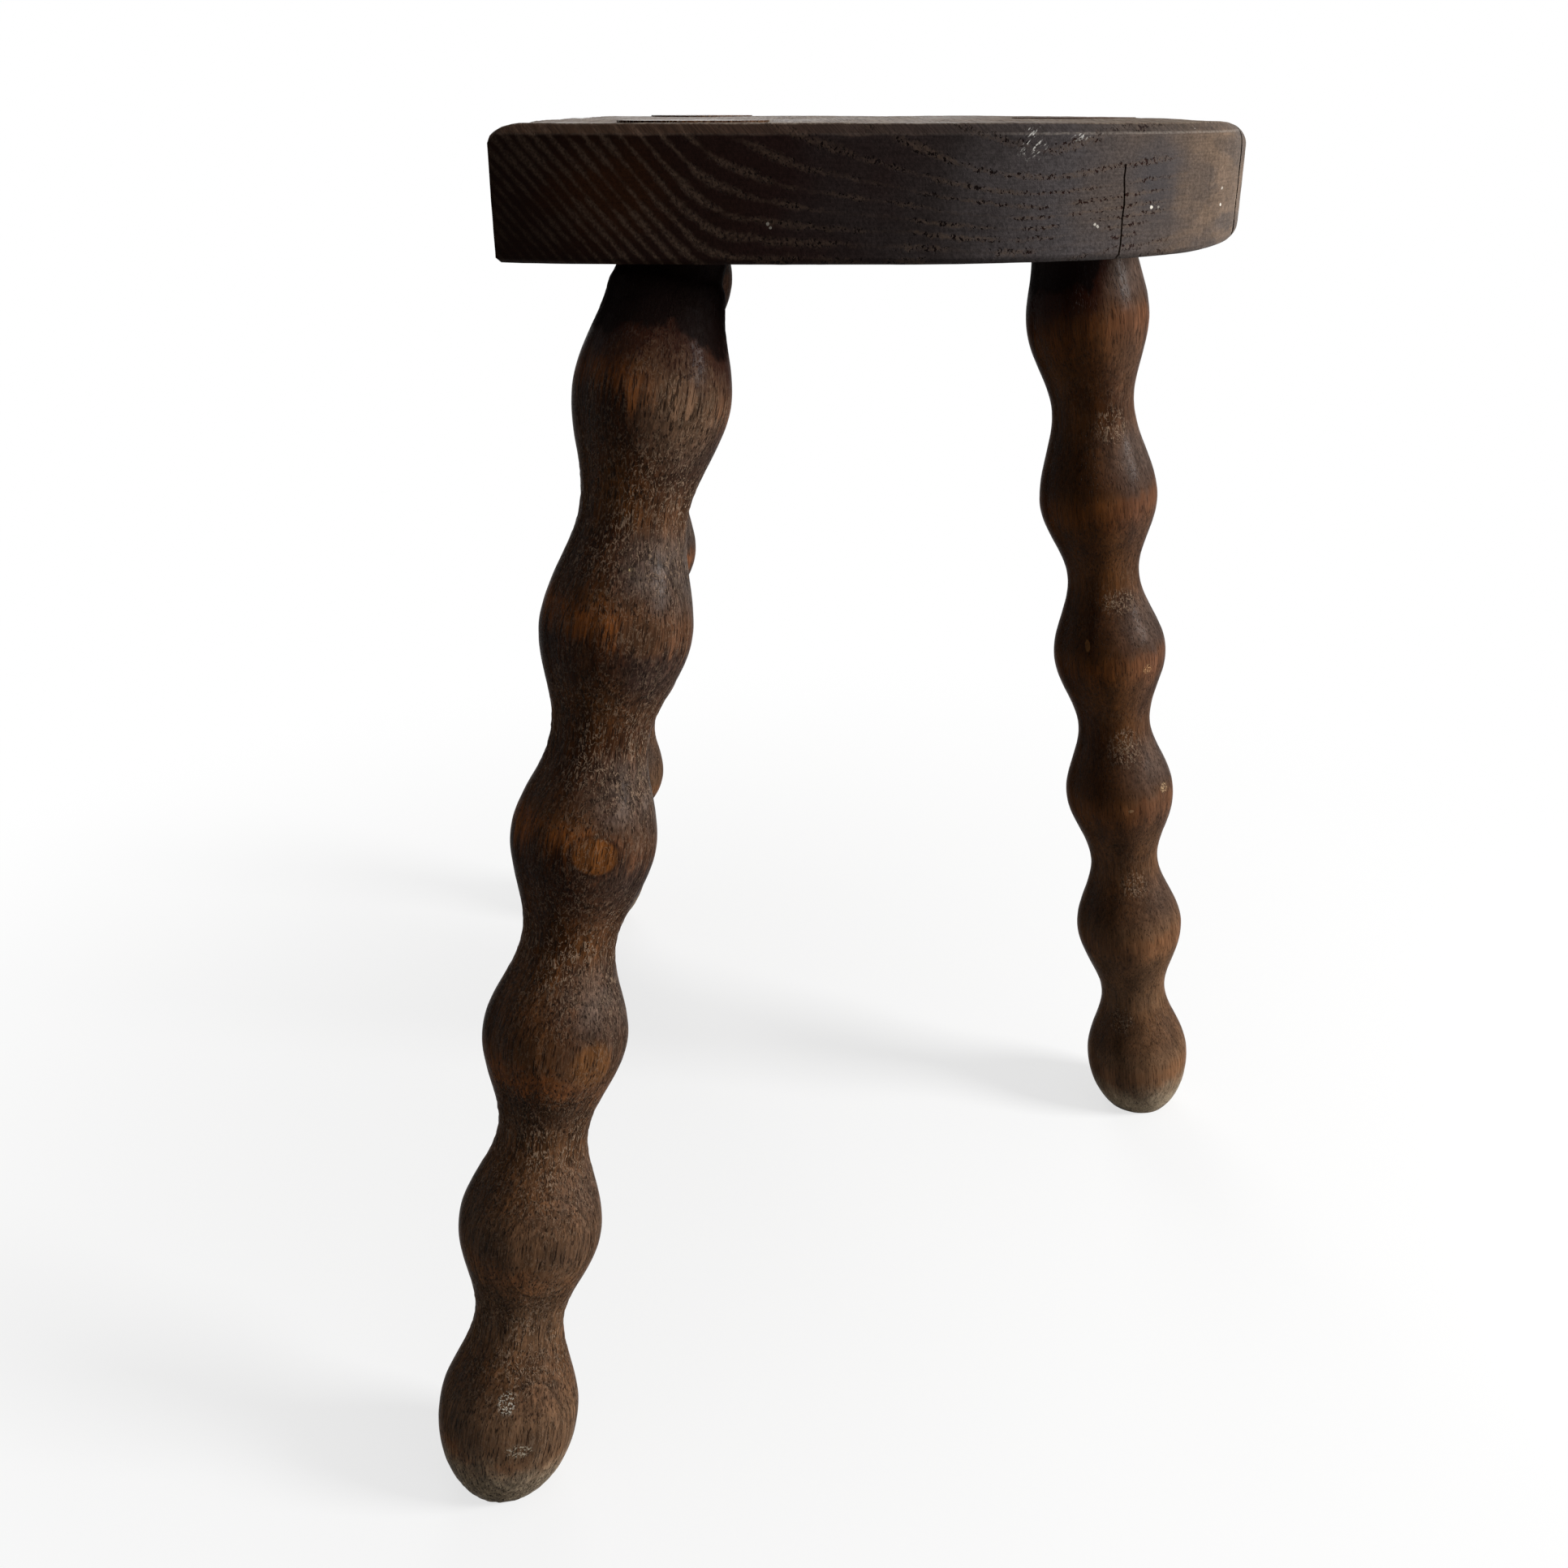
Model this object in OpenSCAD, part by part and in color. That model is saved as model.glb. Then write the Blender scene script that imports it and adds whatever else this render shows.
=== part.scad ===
// Tripod stool: a thick half-moon seat on three splayed, bobbin-turned legs.
// Each leg ends in a tenon that runs right through the seat, flares towards
// the top and is spread there by a hardwood wedge driven into its saw kerf.
//
// The stool stands on the floor at z = 0, with the origin under the middle of
// its bounding box. The straight side of the seat faces -X and runs along Y.

/* [Seat] */
// Height of the seat's top above the floor
seat_h = 450; // [400:1:500]
// Thickness of the seat plank
seat_t = 39; // [32:0.5:46]
// Length of the seat along its straight side, at its widest
seat_w = 342; // [300:1:390]
// How far the round side stands out from the middle of the widest line
seat_reach = 171; // [160:1:195]
// How far the straight side lies behind the widest line
seat_cut = 80; // [70:1:100]
// Squareness of the round side, where 2 is an ellipse
seat_squareness = 2.7; // [2.4:0.1:3.2]
// Width of the bevel along the top edge
top_bevel = 3; // [1:0.25:5]
// Width of the bevel along the bottom edge
bottom_bevel = 1.5; // [0.5:0.25:3]

/* [Turning of the legs] */
// Number of bulges on each leg
bulges = 6; // [5:1:7]
// Diameter of the necks between the bulges
neck_d = 31.4; // [26:0.2:36]
// Diameter of the highest neck, which is a little stouter
top_neck_d = 33.8; // [28:0.2:38]
// Extra length of the gap below the highest bulge
top_gap_extra = 3.5; // [0:0.5:8]
// Length worn off the rounded foot, which leaves its flat
foot_worn = 7.5; // [5:0.5:10]

/* [Near leg] */
// How far its mortise lies in from the seat's straight side, along X
near_x = 51.3; // [44:0.1:60]
// How far its mortise lies in from the seat's near end, along Y
near_y = 29.4; // [28:0.1:50]
// Lean from the vertical
near_splay = 15.5; // [8:0.1:18]
// Compass direction of the foot as seen from above, from +X towards +Y
near_heading = -126.4; // [-150:0.1:-100]
// Diameter of the bulges
near_bulge_d = 49.7; // [44:0.1:52]
// Height of the lowest bulge's widest line above the floor, along the leg
near_rise = 28.9; // [24:0.1:36]
// Distance of the highest bulge's widest line below the seat, along the leg
near_drop = 40.8; // [32:0.1:46]

/* [Right leg] */
// How far its mortise lies in from the seat's round side, along X
right_x = 48.9; // [43:0.1:70]
// How far its mortise lies beyond the middle of the seat, along Y
right_y = -6.4; // [-20:0.1:20]
// Lean from the vertical
right_splay = 8.6; // [5:0.1:15]
// Compass direction of the foot as seen from above, from +X towards +Y
right_heading = 7.7; // [-20:0.1:20]
// Diameter of the bulges
right_bulge_d = 48.4; // [44:0.1:52]
// Height of the lowest bulge's widest line above the floor, along the leg
right_rise = 27.7; // [24:0.1:36]
// Distance of the highest bulge's widest line below the seat, along the leg
right_drop = 34.3; // [32:0.1:46]

/* [Rear leg] */
// How far its mortise lies in from the seat's straight side, along X
rear_x = 41.2; // [38:0.1:60]
// How far its mortise lies in from the seat's rear end, along Y
rear_y = 32.4; // [29:0.1:50]
// Lean from the vertical
rear_splay = 12; // [8:0.1:18]
// Compass direction of the foot as seen from above, from +X towards +Y
rear_heading = 139.2; // [110:0.1:160]
// Diameter of the bulges
rear_bulge_d = 49; // [44:0.1:52]
// Height of the lowest bulge's widest line above the floor, along the leg
rear_rise = 32.5; // [24:0.1:36]
// Distance of the highest bulge's widest line below the seat, along the leg
rear_drop = 34; // [32:0.1:46]

/* [Tenons and wedges] */
// Diameter of a tenon where it meets the underside of the seat
tenon_root_d = 34.4; // [28:0.2:38]
// Diameter of a tenon at the top of the seat
tenon_end_d = 46; // [40:0.5:50]
// Gap between a tenon and its mortise, all round
tenon_gap = 0.15; // [0.1:0.05:0.3]
// Length of bare tenon between the leg's shoulder and the mouth of its mortise
tenon_bare = 1; // [0.5:0.25:3]
// Thickness of a wedge at the top of the seat
wedge_t = 5; // [3:0.25:7]
// Thickness of a wedge at its lower end
wedge_tip_t = 1.4; // [1:0.1:2]
// Depth of a wedge below the top of the seat
wedge_depth = 28; // [20:0.5:31]
// Gap between a wedge and the sides of its kerf
wedge_gap = 0.1; // [0.05:0.05:0.2]
// How much deeper the kerf is than its wedge
kerf_spare = 1.5; // [0.5:0.25:3]

/* [Hidden] */

$fn = 96;
seat_colour = "#2e231d";
leg_colour = "#4a2f1f";
wedge_colour = "#6b4a33";

// Points on each half wave of the turning, and on the rounded foot
half_wave_steps = 8;
foot_steps = 10;
// Points on a quarter of the seat's outline
outline_steps = 20;
// A length beyond every part of the stool, for cutting it off level
beyond = 2 * (seat_h + seat_w);

seat_under = seat_h - seat_t;

// A leg's own sizes, in the order that the functions below read them. The
// place of its mortise comes first, from the middle of the seat's widest line.
near_leg = [near_x - seat_cut, near_y - seat_w / 2, near_splay, near_heading,
            near_bulge_d / 2, near_rise, near_drop];
right_leg = [seat_reach - right_x, right_y, right_splay, right_heading,
             right_bulge_d / 2, right_rise, right_drop];
rear_leg = [rear_x - seat_cut, seat_w / 2 - rear_y, rear_splay, rear_heading,
            rear_bulge_d / 2, rear_rise, rear_drop];
legs = [near_leg, right_leg, rear_leg];

function hole(leg) = [leg[0], leg[1]];
function splay(leg) = leg[2];
function heading(leg) = leg[3];
function bulge_r(leg) = leg[4];
function rise(leg) = leg[5];
function drop(leg) = leg[6];

// Length of the axis from the floor to the seat's underside, and to its top
function root_at(leg) = seat_under / cos(splay(leg));
function end_at(leg) = seat_h / cos(splay(leg));
// Point where the axis meets the floor, from the middle of the widest line
function foot(leg) = hole(leg) - seat_under * lean(leg);
// How far the axis moves sideways for each millimetre that it rises
function lean(leg) = -tan(splay(leg)) * [cos(heading(leg)), sin(heading(leg))];

// Half length of the rounded foot, as it was before its tip wore off
function foot_half(leg) = rise(leg) + foot_worn;
// Reach of the rounded foot from the lowest bulge's middle, along X or Y
function foot_reach(leg, axis) =
    let (u = lean(leg)[axis] * cos(splay(leg)))
    sqrt(pow(bulge_r(leg), 2) * (1 - u * u) + pow(foot_half(leg) * u, 2));
function foot_middle(leg, axis) =
    foot(leg)[axis] + lean(leg)[axis] * cos(splay(leg)) * rise(leg);
function low_side(axis) =
    min([for (leg = legs) foot_middle(leg, axis) - foot_reach(leg, axis)]);
function high_side(axis) =
    max([for (leg = legs) foot_middle(leg, axis) + foot_reach(leg, axis)]);
// Middle of the seat's widest line, with the box of the feet round the origin
seat_x = -(low_side(0) + high_side(0)) / 2;
seat_y = -(low_side(1) + high_side(1)) / 2;

// Widest line of bulge number i, as a length along the leg from the floor
function bulge_gap(leg) =
    (root_at(leg) - rise(leg) - drop(leg) - top_gap_extra) / (bulges - 1);
function bulge_at(leg, i) =
    rise(leg) + i * bulge_gap(leg) + (i == bulges - 1 ? top_gap_extra : 0);
function neck_r(i) = (i == bulges - 2 ? top_neck_d : neck_d) / 2;

// The tenon's straight flare starts clear of the slanting underside
function tenon_slope(leg) =
    (tenon_end_d - tenon_root_d) / 2 / (end_at(leg) - root_at(leg));
function tenon_r(leg, s) =
    tenon_root_d / 2 + tenon_slope(leg) * (s - root_at(leg));
function tenon_from(leg) =
    root_at(leg) - (tenon_root_d / 2 + tenon_gap) * tan(splay(leg)) - tenon_bare;
function tenon_to(leg) = end_at(leg) + tenon_end_d * tan(splay(leg));

// A soft wave from radius r0 to radius r1 between two places on the leg,
// without the point that it starts from
function wave(s0, r0, s1, r1) =
    [for (k = [1:half_wave_steps])
        let (t = k / half_wave_steps)
        [r0 + (r1 - r0) * (1 - cos(180 * t)) / 2, s0 + (s1 - s0) * t]];

function foot_curve(leg) =
    [for (k = [0:foot_steps])
        let (a = 90 * k / foot_steps)
        [bulge_r(leg) * sin(a), rise(leg) - foot_half(leg) * cos(a)]];

function bobbin_curve(leg) =
    [for (i = [0:bulges - 2])
        let (low = bulge_at(leg, i),
             high = bulge_at(leg, i + 1),
             middle = (low + high) / 2)
        each concat(wave(low, bulge_r(leg), middle, neck_r(i)),
                    wave(middle, neck_r(i), high, bulge_r(leg)))];

function shoulder_curve(leg) =
    wave(bulge_at(leg, bulges - 1), bulge_r(leg),
         tenon_from(leg), tenon_r(leg, tenon_from(leg)));

function leg_outline(leg) =
    concat(foot_curve(leg), bobbin_curve(leg), shoulder_curve(leg),
           [[tenon_r(leg, tenon_to(leg)), tenon_to(leg)], [0, tenon_to(leg)]]);

// Sets what it holds along a leg's axis, with z = 0 at the floor
module along(leg) {
    place = foot(leg);
    translate([seat_x + place[0], seat_y + place[1], 0])
        rotate([0, 0, heading(leg)])
            rotate([0, -splay(leg), 0])
                rotate([0, 0, -heading(leg)])
                    children();
}

// The room between the floor and the top of the seat
module standing_room() {
    translate([-beyond / 2, -beyond / 2, 0])
        cube([beyond, beyond, seat_h]);
}

// The tenon's flare by itself, grown by a gap all round
module tenon_flare(leg, gap) {
    from = tenon_from(leg);
    to = tenon_to(leg);
    translate([0, 0, from])
        cylinder(h = to - from,
                 r1 = tenon_r(leg, from) + gap,
                 r2 = tenon_r(leg, to) + gap);
}

// A wedge as wide as the tenon, grown by a gap on both sides and at its tip.
// It lies along X, across the grain of the seat.
module wedge_shape(leg, gap, spare) {
    top = end_at(leg);
    low = top - wedge_depth - spare;
    over = tenon_to(leg) - top;
    taper = (wedge_t - wedge_tip_t) / 2 / wedge_depth;
    half_top = wedge_t / 2 + taper * over + gap;
    half_low = wedge_tip_t / 2 + gap;
    rotate([90, 0, 90])
        translate([0, 0, -tenon_end_d])
            linear_extrude(2 * tenon_end_d)
                polygon([[-half_low, low], [half_low, low],
                         [half_top, top + over], [-half_top, top + over]]);
}

// The half-moon, drawn in from its own edge all round
module half_moon(inset) {
    a = seat_reach - inset;
    b = seat_w / 2 - inset;
    power = 2 / seat_squareness;
    intersection() {
        polygon([for (k = [0:4 * outline_steps - 1])
            let (t = 90 * k / outline_steps, c = cos(t), s = sin(t))
            [a * sign(c) * pow(abs(c), power),
             b * sign(s) * pow(abs(s), power)]]);
        translate([-seat_cut + inset, -seat_w])
            square([seat_cut + seat_w, 2 * seat_w]);
    }
}

// The half-moon as a block between two heights
module half_moon_block(low, high, inset) {
    translate([seat_x, seat_y, low])
        linear_extrude(high - low)
            half_moon(inset);
}

// The plank with its bevels, whose slopes run on past its flat faces so that
// the faces themselves are cut level
module plank() {
    intersection() {
        hull() {
            half_moon_block(seat_under - 3 * bottom_bevel,
                            seat_under - bottom_bevel, 2 * bottom_bevel);
            half_moon_block(seat_under + bottom_bevel,
                            seat_h - top_bevel, 0);
            half_moon_block(seat_h + top_bevel,
                            seat_h + 3 * top_bevel, 2 * top_bevel);
        }
        translate([-beyond / 2, -beyond / 2, seat_under])
            cube([beyond, beyond, seat_t]);
    }
}

module seat() {
    color(seat_colour)
        difference() {
            plank();
            for (leg = legs)
                along(leg)
                    tenon_flare(leg, tenon_gap);
        }
}

module turned_leg(leg) {
    color(leg_colour)
        intersection() {
            standing_room();
            along(leg)
                difference() {
                    rotate_extrude()
                        polygon(leg_outline(leg));
                    wedge_shape(leg, wedge_gap, kerf_spare);
                }
        }
}

module wedge(leg) {
    color(wedge_colour)
        intersection() {
            standing_room();
            along(leg)
                intersection() {
                    wedge_shape(leg, 0, 0);
                    tenon_flare(leg, 0);
                }
        }
}

module leg_near() { turned_leg(near_leg); }
module leg_right() { turned_leg(right_leg); }
module leg_rear() { turned_leg(rear_leg); }
module wedge_near() { wedge(near_leg); }
module wedge_right() { wedge(right_leg); }
module wedge_rear() { wedge(rear_leg); }

seat();
leg_near();
leg_right();
leg_rear();
wedge_near();
wedge_right();
wedge_rear();
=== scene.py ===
import math

import bmesh
import bpy
import numpy as np
from mathutils import Matrix, Vector, noise

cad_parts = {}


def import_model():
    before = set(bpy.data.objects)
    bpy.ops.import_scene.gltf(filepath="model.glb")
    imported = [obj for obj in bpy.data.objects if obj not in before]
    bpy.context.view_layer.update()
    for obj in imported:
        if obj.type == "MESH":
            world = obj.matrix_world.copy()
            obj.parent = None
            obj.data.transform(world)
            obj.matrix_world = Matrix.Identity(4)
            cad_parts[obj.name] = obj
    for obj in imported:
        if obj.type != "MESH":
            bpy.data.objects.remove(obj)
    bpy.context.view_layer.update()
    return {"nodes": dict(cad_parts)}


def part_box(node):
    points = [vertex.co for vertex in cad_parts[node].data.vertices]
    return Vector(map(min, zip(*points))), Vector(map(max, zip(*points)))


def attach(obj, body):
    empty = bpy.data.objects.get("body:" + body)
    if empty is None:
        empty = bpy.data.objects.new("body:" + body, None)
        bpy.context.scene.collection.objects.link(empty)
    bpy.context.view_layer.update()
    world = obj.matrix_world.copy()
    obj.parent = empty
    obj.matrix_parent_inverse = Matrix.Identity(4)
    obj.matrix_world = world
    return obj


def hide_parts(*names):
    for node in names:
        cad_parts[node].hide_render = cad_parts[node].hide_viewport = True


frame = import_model()

# A tripod stool: a thick half-moon oak seat on three turned bobbin legs, whose
# wedged tenons come up through it. All sizes are in millimetres, as a maker
# would mark them out, and MM turns them to metres.
MM = 0.001

# The seat's heights, how far it reaches from the middle of its widest line to its round end,
# to each side and to its straight side, the power of its outline, and its bevels
SEAT_TOP = 450
SEAT_UNDER = 411
SEAT_REACH = 171
SEAT_HALF = 171
SEAT_CUT = 80
SQUARENESS = 2.7
TOP_BEVEL = 3
BOTTOM_BEVEL = 1.5
# How far below the solids' top the tenons are sawn off, so that none stands past it
SAWN_CLEAR = 0.01
# How far wear has taken the seat's top down where the tenons stand proud, and elsewhere
SEAT_WORN = 0.4
LEAST_WORN = 0.15

# The legs' feet, tenons, wedges and kerfs, as in the solids. Only the shoulder ends lower and
# the gap round the tenons is wider, because their surface is uneven here.
FOOT_WORN = 7.5
TENON_ROOT_R = 17.2
TENON_END_R = 23
TENON_BARE = 1
SHOULDER_UNDER = 2.5
MORTISE_GAP = 0.3
WEDGE_T = 5
WEDGE_TIP_T = 1.4
WEDGE_DEPTH = 28
KERF_GAP = 0.1
KERF_SPARE = 1.5


# Small helpers

def linear(colour):
    """An sRGB hex colour as linear red, green, blue and alpha"""
    parts = [int(colour[i:i + 2], 16) / 255 for i in (1, 3, 5)]
    return [c / 12.92 if c <= 0.04045 else ((c + 0.055) / 1.055) ** 2.4 for c in parts] + [1]


def alone(piece):
    """Selects one piece and makes it the active one"""
    bpy.ops.object.select_all(action="DESELECT")
    piece.select_set(True)
    bpy.context.view_layer.objects.active = piece


def edit():
    """Goes into edit mode and gives the piece's mesh as it is there"""
    bpy.ops.object.mode_set(mode="EDIT")
    return bmesh.from_edit_mesh(bpy.context.object.data)


def done():
    """Leaves edit mode and gives the piece"""
    bpy.ops.object.mode_set(mode="OBJECT")
    return bpy.context.object


def modify(piece, kind, **settings):
    """Adds a modifier with its settings and applies it"""
    alone(piece)
    made = piece.modifiers.new(kind.lower(), kind)
    for name, value in settings.items():
        setattr(made, name, value)
    bpy.ops.object.modifier_apply(modifier=made.name)


def place(piece, matrix):
    """Moves a piece to its place and leaves its object at the origin"""
    alone(piece)
    piece.matrix_world = matrix
    bpy.ops.object.transform_apply(location=True, rotation=True, scale=True)


def points_of(piece):
    """A piece's points in millimetres, one row each"""
    flat = np.empty(len(piece.data.vertices) * 3)
    piece.data.vertices.foreach_get("co", flat)
    return flat.reshape(-1, 3) / MM


def move_points(piece, points):
    """Puts a piece's points where they are wanted, in millimetres"""
    piece.data.vertices.foreach_set("co", (points * MM).ravel())
    piece.data.update()


def smooth(low, high, value):
    """A soft step from 0 at low to 1 at high"""
    t = np.clip((value - low) / (high - low), 0, 1)
    return t * t * (3 - 2 * t)


def keep(piece, name, values):
    """Stores three numbers for each point of a piece, for its material to read"""
    kept = piece.data.attributes.new(name, "FLOAT_VECTOR", "POINT")
    kept.data.foreach_set("vector", np.asarray(values, np.float32).ravel())


def clouds(name, size, depth):
    """A cloudy texture whose lumps are about so many millimetres across"""
    made = bpy.data.textures.new(name, "CLOUDS")
    made.noise_scale = size * MM
    made.noise_depth = depth
    return made


def grow(piece, texture, height, middle=0.5, group=""):
    """Raises and lowers a piece's surface by a texture, by so many millimetres in all"""
    modify(piece, "DISPLACE", texture=texture, texture_coords="LOCAL", direction="NORMAL",
           strength=height * MM, mid_level=middle, vertex_group=group)


def cut_with(piece, cutter):
    """Takes a cutter out of a piece"""
    modify(piece, "BOOLEAN", operation="DIFFERENCE", object=cutter, solver="EXACT")
    bpy.data.objects.remove(cutter)


# The legs

class Leg:
    """One leg: where its axis meets the floor, how it leans and what its turner made of it, as
    the height and radius of each bulge, the radius of each neck and of the shoulder under the
    seat. The bow is how far the dried leg bends to one side, in a C and in an S. The band is how
    much a bulge's rubbed line drops to the right, how far it lies above the widest line on the
    three low bulges and on the three high ones, and how strong it is at its left and its right.
    Dark is how much deep stain and painted shade lie below the band and above it. The stain is how
    far below the seat the leg is black, at its left and at its right. The flat side is the direction
    that the growth rings face, torn is how rough the turning is, and the seed sets the patterns apart.
    A height is measured along the leg's own axis from the floor."""

    def __init__(self, name, foot, splay, heading, bulges, necks, shoulder, bow, flat_side, band,
                 dark, stain, torn, seed):
        self.name = name
        self.splay = math.radians(splay)
        self.heading = math.radians(heading)
        self.bulges = bulges
        self.necks = necks
        self.shoulder = shoulder
        self.bow = bow
        self.flat_side = math.radians(flat_side)
        self.band = band
        self.dark = dark
        self.stain = stain
        self.torn = torn
        self.seed = seed
        self.root_at = SEAT_UNDER / math.cos(self.splay)
        self.end_at = SEAT_TOP / math.cos(self.splay)
        self.tenon_from = self.root_at - TENON_ROOT_R * math.tan(self.splay) - TENON_BARE
        self.tenon_to = self.end_at + 2 * TENON_END_R * math.tan(self.splay)
        turn = Matrix.Rotation(self.heading, 4, "Z")
        lean = Matrix.Rotation(-self.splay, 4, "Y")
        self.matrix = (Matrix.Translation((foot[0] * MM, foot[1] * MM, 0))
                       @ turn @ lean @ turn.inverted())

    def tenon_r(self, height):
        """The flared tenon's radius at a height along the leg"""
        slope = (TENON_END_R - TENON_ROOT_R) / (self.end_at - self.root_at)
        return TENON_ROOT_R + slope * (height - self.root_at)


LEGS = [
    Leg("near", (-135.98, -215.09), 15.5, -126.4,
        bulges=[(28.9, 24.85), (100.1, 25), (170.3, 24.6), (239.2, 24.5), (310.1, 25), (384.3, 25.3)],
        necks=[15.8, 15.7, 16.1, 16.4, 17.6], shoulder=18.6, bow=(-2.4, -0.5), flat_side=-65,
        band=(-0.004, -0.28, 0.12, 0.88, 0.3), dark=(0.75, 0.45), stain=(24, 24), torn=1, seed=1),
    Leg("right", (144.06, 20.18), 8.6, 7.7,
        bulges=[(28.2, 24.2), (100.6, 24.1), (171.4, 24), (238.8, 24.1), (308, 24.4), (381, 24.4)],
        necks=[15.1, 15.2, 15.7, 15.1, 16.8], shoulder=20.4, bow=(-0.2, 0.6), flat_side=-100,
        band=(0, 0, 0, 0.35, 0.8), dark=(0.1, 0.45), stain=(20, -10), torn=0.15, seed=2),
    Leg("rear", (-144.57, 213.93), 12, 139.2,
        bulges=[(36, 23), (102.6, 24.3), (172.6, 24.6), (242.4, 24.4), (312.7, 24.5), (386.2, 24.6)],
        necks=[15.7, 15.5, 15.9, 15.6, 17], shoulder=18.4, bow=(1.2, -0.6), flat_side=20,
        band=(0, -0.1, 0.1, 1, 1), dark=(0.4, 0.4), stain=(10, 10), torn=0.7, seed=3),
]
# The side towards the window light, on which a grey sheen is painted into the colour, and to which the dust
# on the upper flanks is kept, so that it paints sheen too
WINDOW_SIDE = (0.94, -0.34, 0)
# Growth rings in the legs: how far apart they lie and how deep the first is
RING_GAP = 5.2
RING_IN = 0.6
# A patch whose edge is less soft than this has a dark rim
SHARP_PATCH = 0.2
# Places on the legs, in each leg's own millimetres, with their sizes and colours:
# rubbed patches, each with the softness of its edge, and chips broken into crumbs
PATCHES = {
    "near": [((4.4, -24.4, 239), (15.5, 14, 12), 0.12, "#714420"),
             ((-8.2, -21.5, 301.6), (5, 9, 7), 0.3, "#54341e"),
             ((10.4, -22.3, 311), (19, 14, 13), 0.25, "#553a28"),
             ((14.5, -19.9, 167), (19, 14, 17), 0.3, "#6f4726"),
             ((13, -20.5, 387), (30, 24, 40), 0.6, "#634b39")],
    "right": [((-12.3, -18.3, 249), (2, 4, 6), 0.2, "#8a5f36"),
              ((0.7, -24, 171), (2.4, 4, 1.4), 0.2, "#8c6c4e")],
    "rear": [],
}
CHIPS = {
    "near": [((0.1, -21.5, 43), (7, 12, 9), "#c4bcac"), ((6.8, -23.8, 26.5), (12, 9, 6), "#a79b88"),
             ((2.2, -20.6, 330), (2.4, 6, 2.4), "#a8946c")],
    "right": [((12.2, -20.8, 235.5), (5, 8, 5), "#b08a62"), ((16.8, -15.4, 176.6), (5, 8, 5), "#b09470"),
              ((-0.7, -16.4, 265), (9, 9, 4), "#8c7660"), ((0.7, -15.9, 199), (8, 9, 8), "#846e58")],
    "rear": [],
}
# Places where the tool tore the wood, and places with drying cracks
TORN = {
    "near": [],
    "right": [((1.5, -16.4, 266), (20, 18, 12)), ((1, -15.9, 199), (18, 18, 22)),
              ((-8, -13, 55.5), (14, 16, 18)), ((4, -16, 340), (16, 18, 20)),
              ((1, -15.9, 130), (16, 18, 16))],
    "rear": [],
}
CHECKED = {"near": [((11, -22, 389), (20, 24, 26))], "right": [((6, -23, 392), (14, 16, 20))], "rear": []}

# How high the turning's unevenness, its tool marks and its torn grain are in all, and the
# sharpest angle between two faces of a leg and of the seat that is still shaded smooth
OUT_OF_ROUND = 0.7
TOOL_MARKS = 0.22
TORN_GRAIN = 0.6
LEG_CREASE = math.radians(45)
SEAT_CREASE = math.radians(50)

# Where a bulge's flank begins and is in full, as shares of the way to the next bulge, and the
# steps that its weight is kept in
FLANK = (0.2, 0.42)
FLANK_STEPS = 10

# Corners round a leg and steps on each half wave, before the surface is
# subdivided twice. A smoothed corner or crest falls inside its corner points,
# so the radii are drawn larger by what the smoothing takes off.
SIDES = 32
WAVE_STEPS = 8
FOOT_STEPS = 9
ROUND_GROWTH = 3 / (2 + math.cos(2 * math.pi / SIDES))
WAVE_GROWTH = 3 / (2 + math.cos(math.pi / WAVE_STEPS))


def wave(low, low_r, high, high_r):
    """Heights and radii along a soft half wave, without the point that it starts from"""
    middle = (low_r + high_r) / 2
    swing = (high_r - low_r) / 2 * WAVE_GROWTH
    steps = [(k + 1) / WAVE_STEPS for k in range(WAVE_STEPS)]
    return [(low + (high - low) * t, middle - swing * math.cos(math.pi * t)) for t in steps]


def leg_rings(leg):
    """Heights and radii up a leg, from the worn tip of its foot to the end of its tenon"""
    rise, wide = leg.bulges[0]
    angles = [math.pi / 2 * (k + 1) / FOOT_STEPS for k in range(FOOT_STEPS)]
    rings = [(rise - (rise + FOOT_WORN) * math.cos(a), wide * math.sin(a)) for a in angles]
    for (low, low_r), (high, high_r), neck in zip(leg.bulges, leg.bulges[1:], leg.necks):
        middle = (low + high) / 2
        rings += wave(low, low_r, middle, neck)
        rings += wave(middle, neck, high, high_r)
    last, last_r = leg.bulges[-1]
    rings += wave(last, last_r, leg.tenon_from - SHOULDER_UNDER, leg.shoulder)
    for height in (leg.tenon_from, leg.root_at, (leg.root_at + leg.end_at) / 2, leg.end_at, leg.tenon_to):
        rings.append((height, leg.tenon_r(height)))
    return rings


def turn_blank(leg):
    """A leg drawn up ring by ring from its foot, upright, with its axis on Z"""
    rings = leg_rings(leg)
    height, radius = rings[0]
    bpy.ops.object.select_all(action="DESELECT")
    bpy.ops.mesh.primitive_circle_add(vertices=SIDES, radius=radius * ROUND_GROWTH * MM,
                                      fill_type="NGON", location=(0, 0, height * MM))
    bpy.context.object.name = "turned_leg_" + leg.name
    edit()
    bpy.ops.mesh.select_all(action="SELECT")
    for up, wide in rings[1:]:
        bpy.ops.mesh.extrude_region_move(
            TRANSFORM_OT_translate={"value": (0, 0, (up - height) * MM)})
        bpy.ops.transform.resize(value=(wide / radius, wide / radius, 1),
                                 center_override=(0, 0, up * MM))
        height = up
        radius = wide
    bpy.ops.mesh.select_all(action="SELECT")
    bpy.ops.mesh.normals_make_consistent(inside=False)
    piece = done()
    bpy.ops.object.transform_apply(location=True)
    modify(piece, "SUBSURF", levels=2, render_levels=2)
    return piece


def bulges_up(leg, height):
    """How many bulges up a height lies, from 0 at the widest line of the lowest"""
    widest = [h for h, r in leg.bulges]
    gap = widest[1] - widest[0]
    return np.interp(height, [widest[0] - gap] + widest + [widest[-1] + gap], range(-1, len(widest) + 1))


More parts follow.
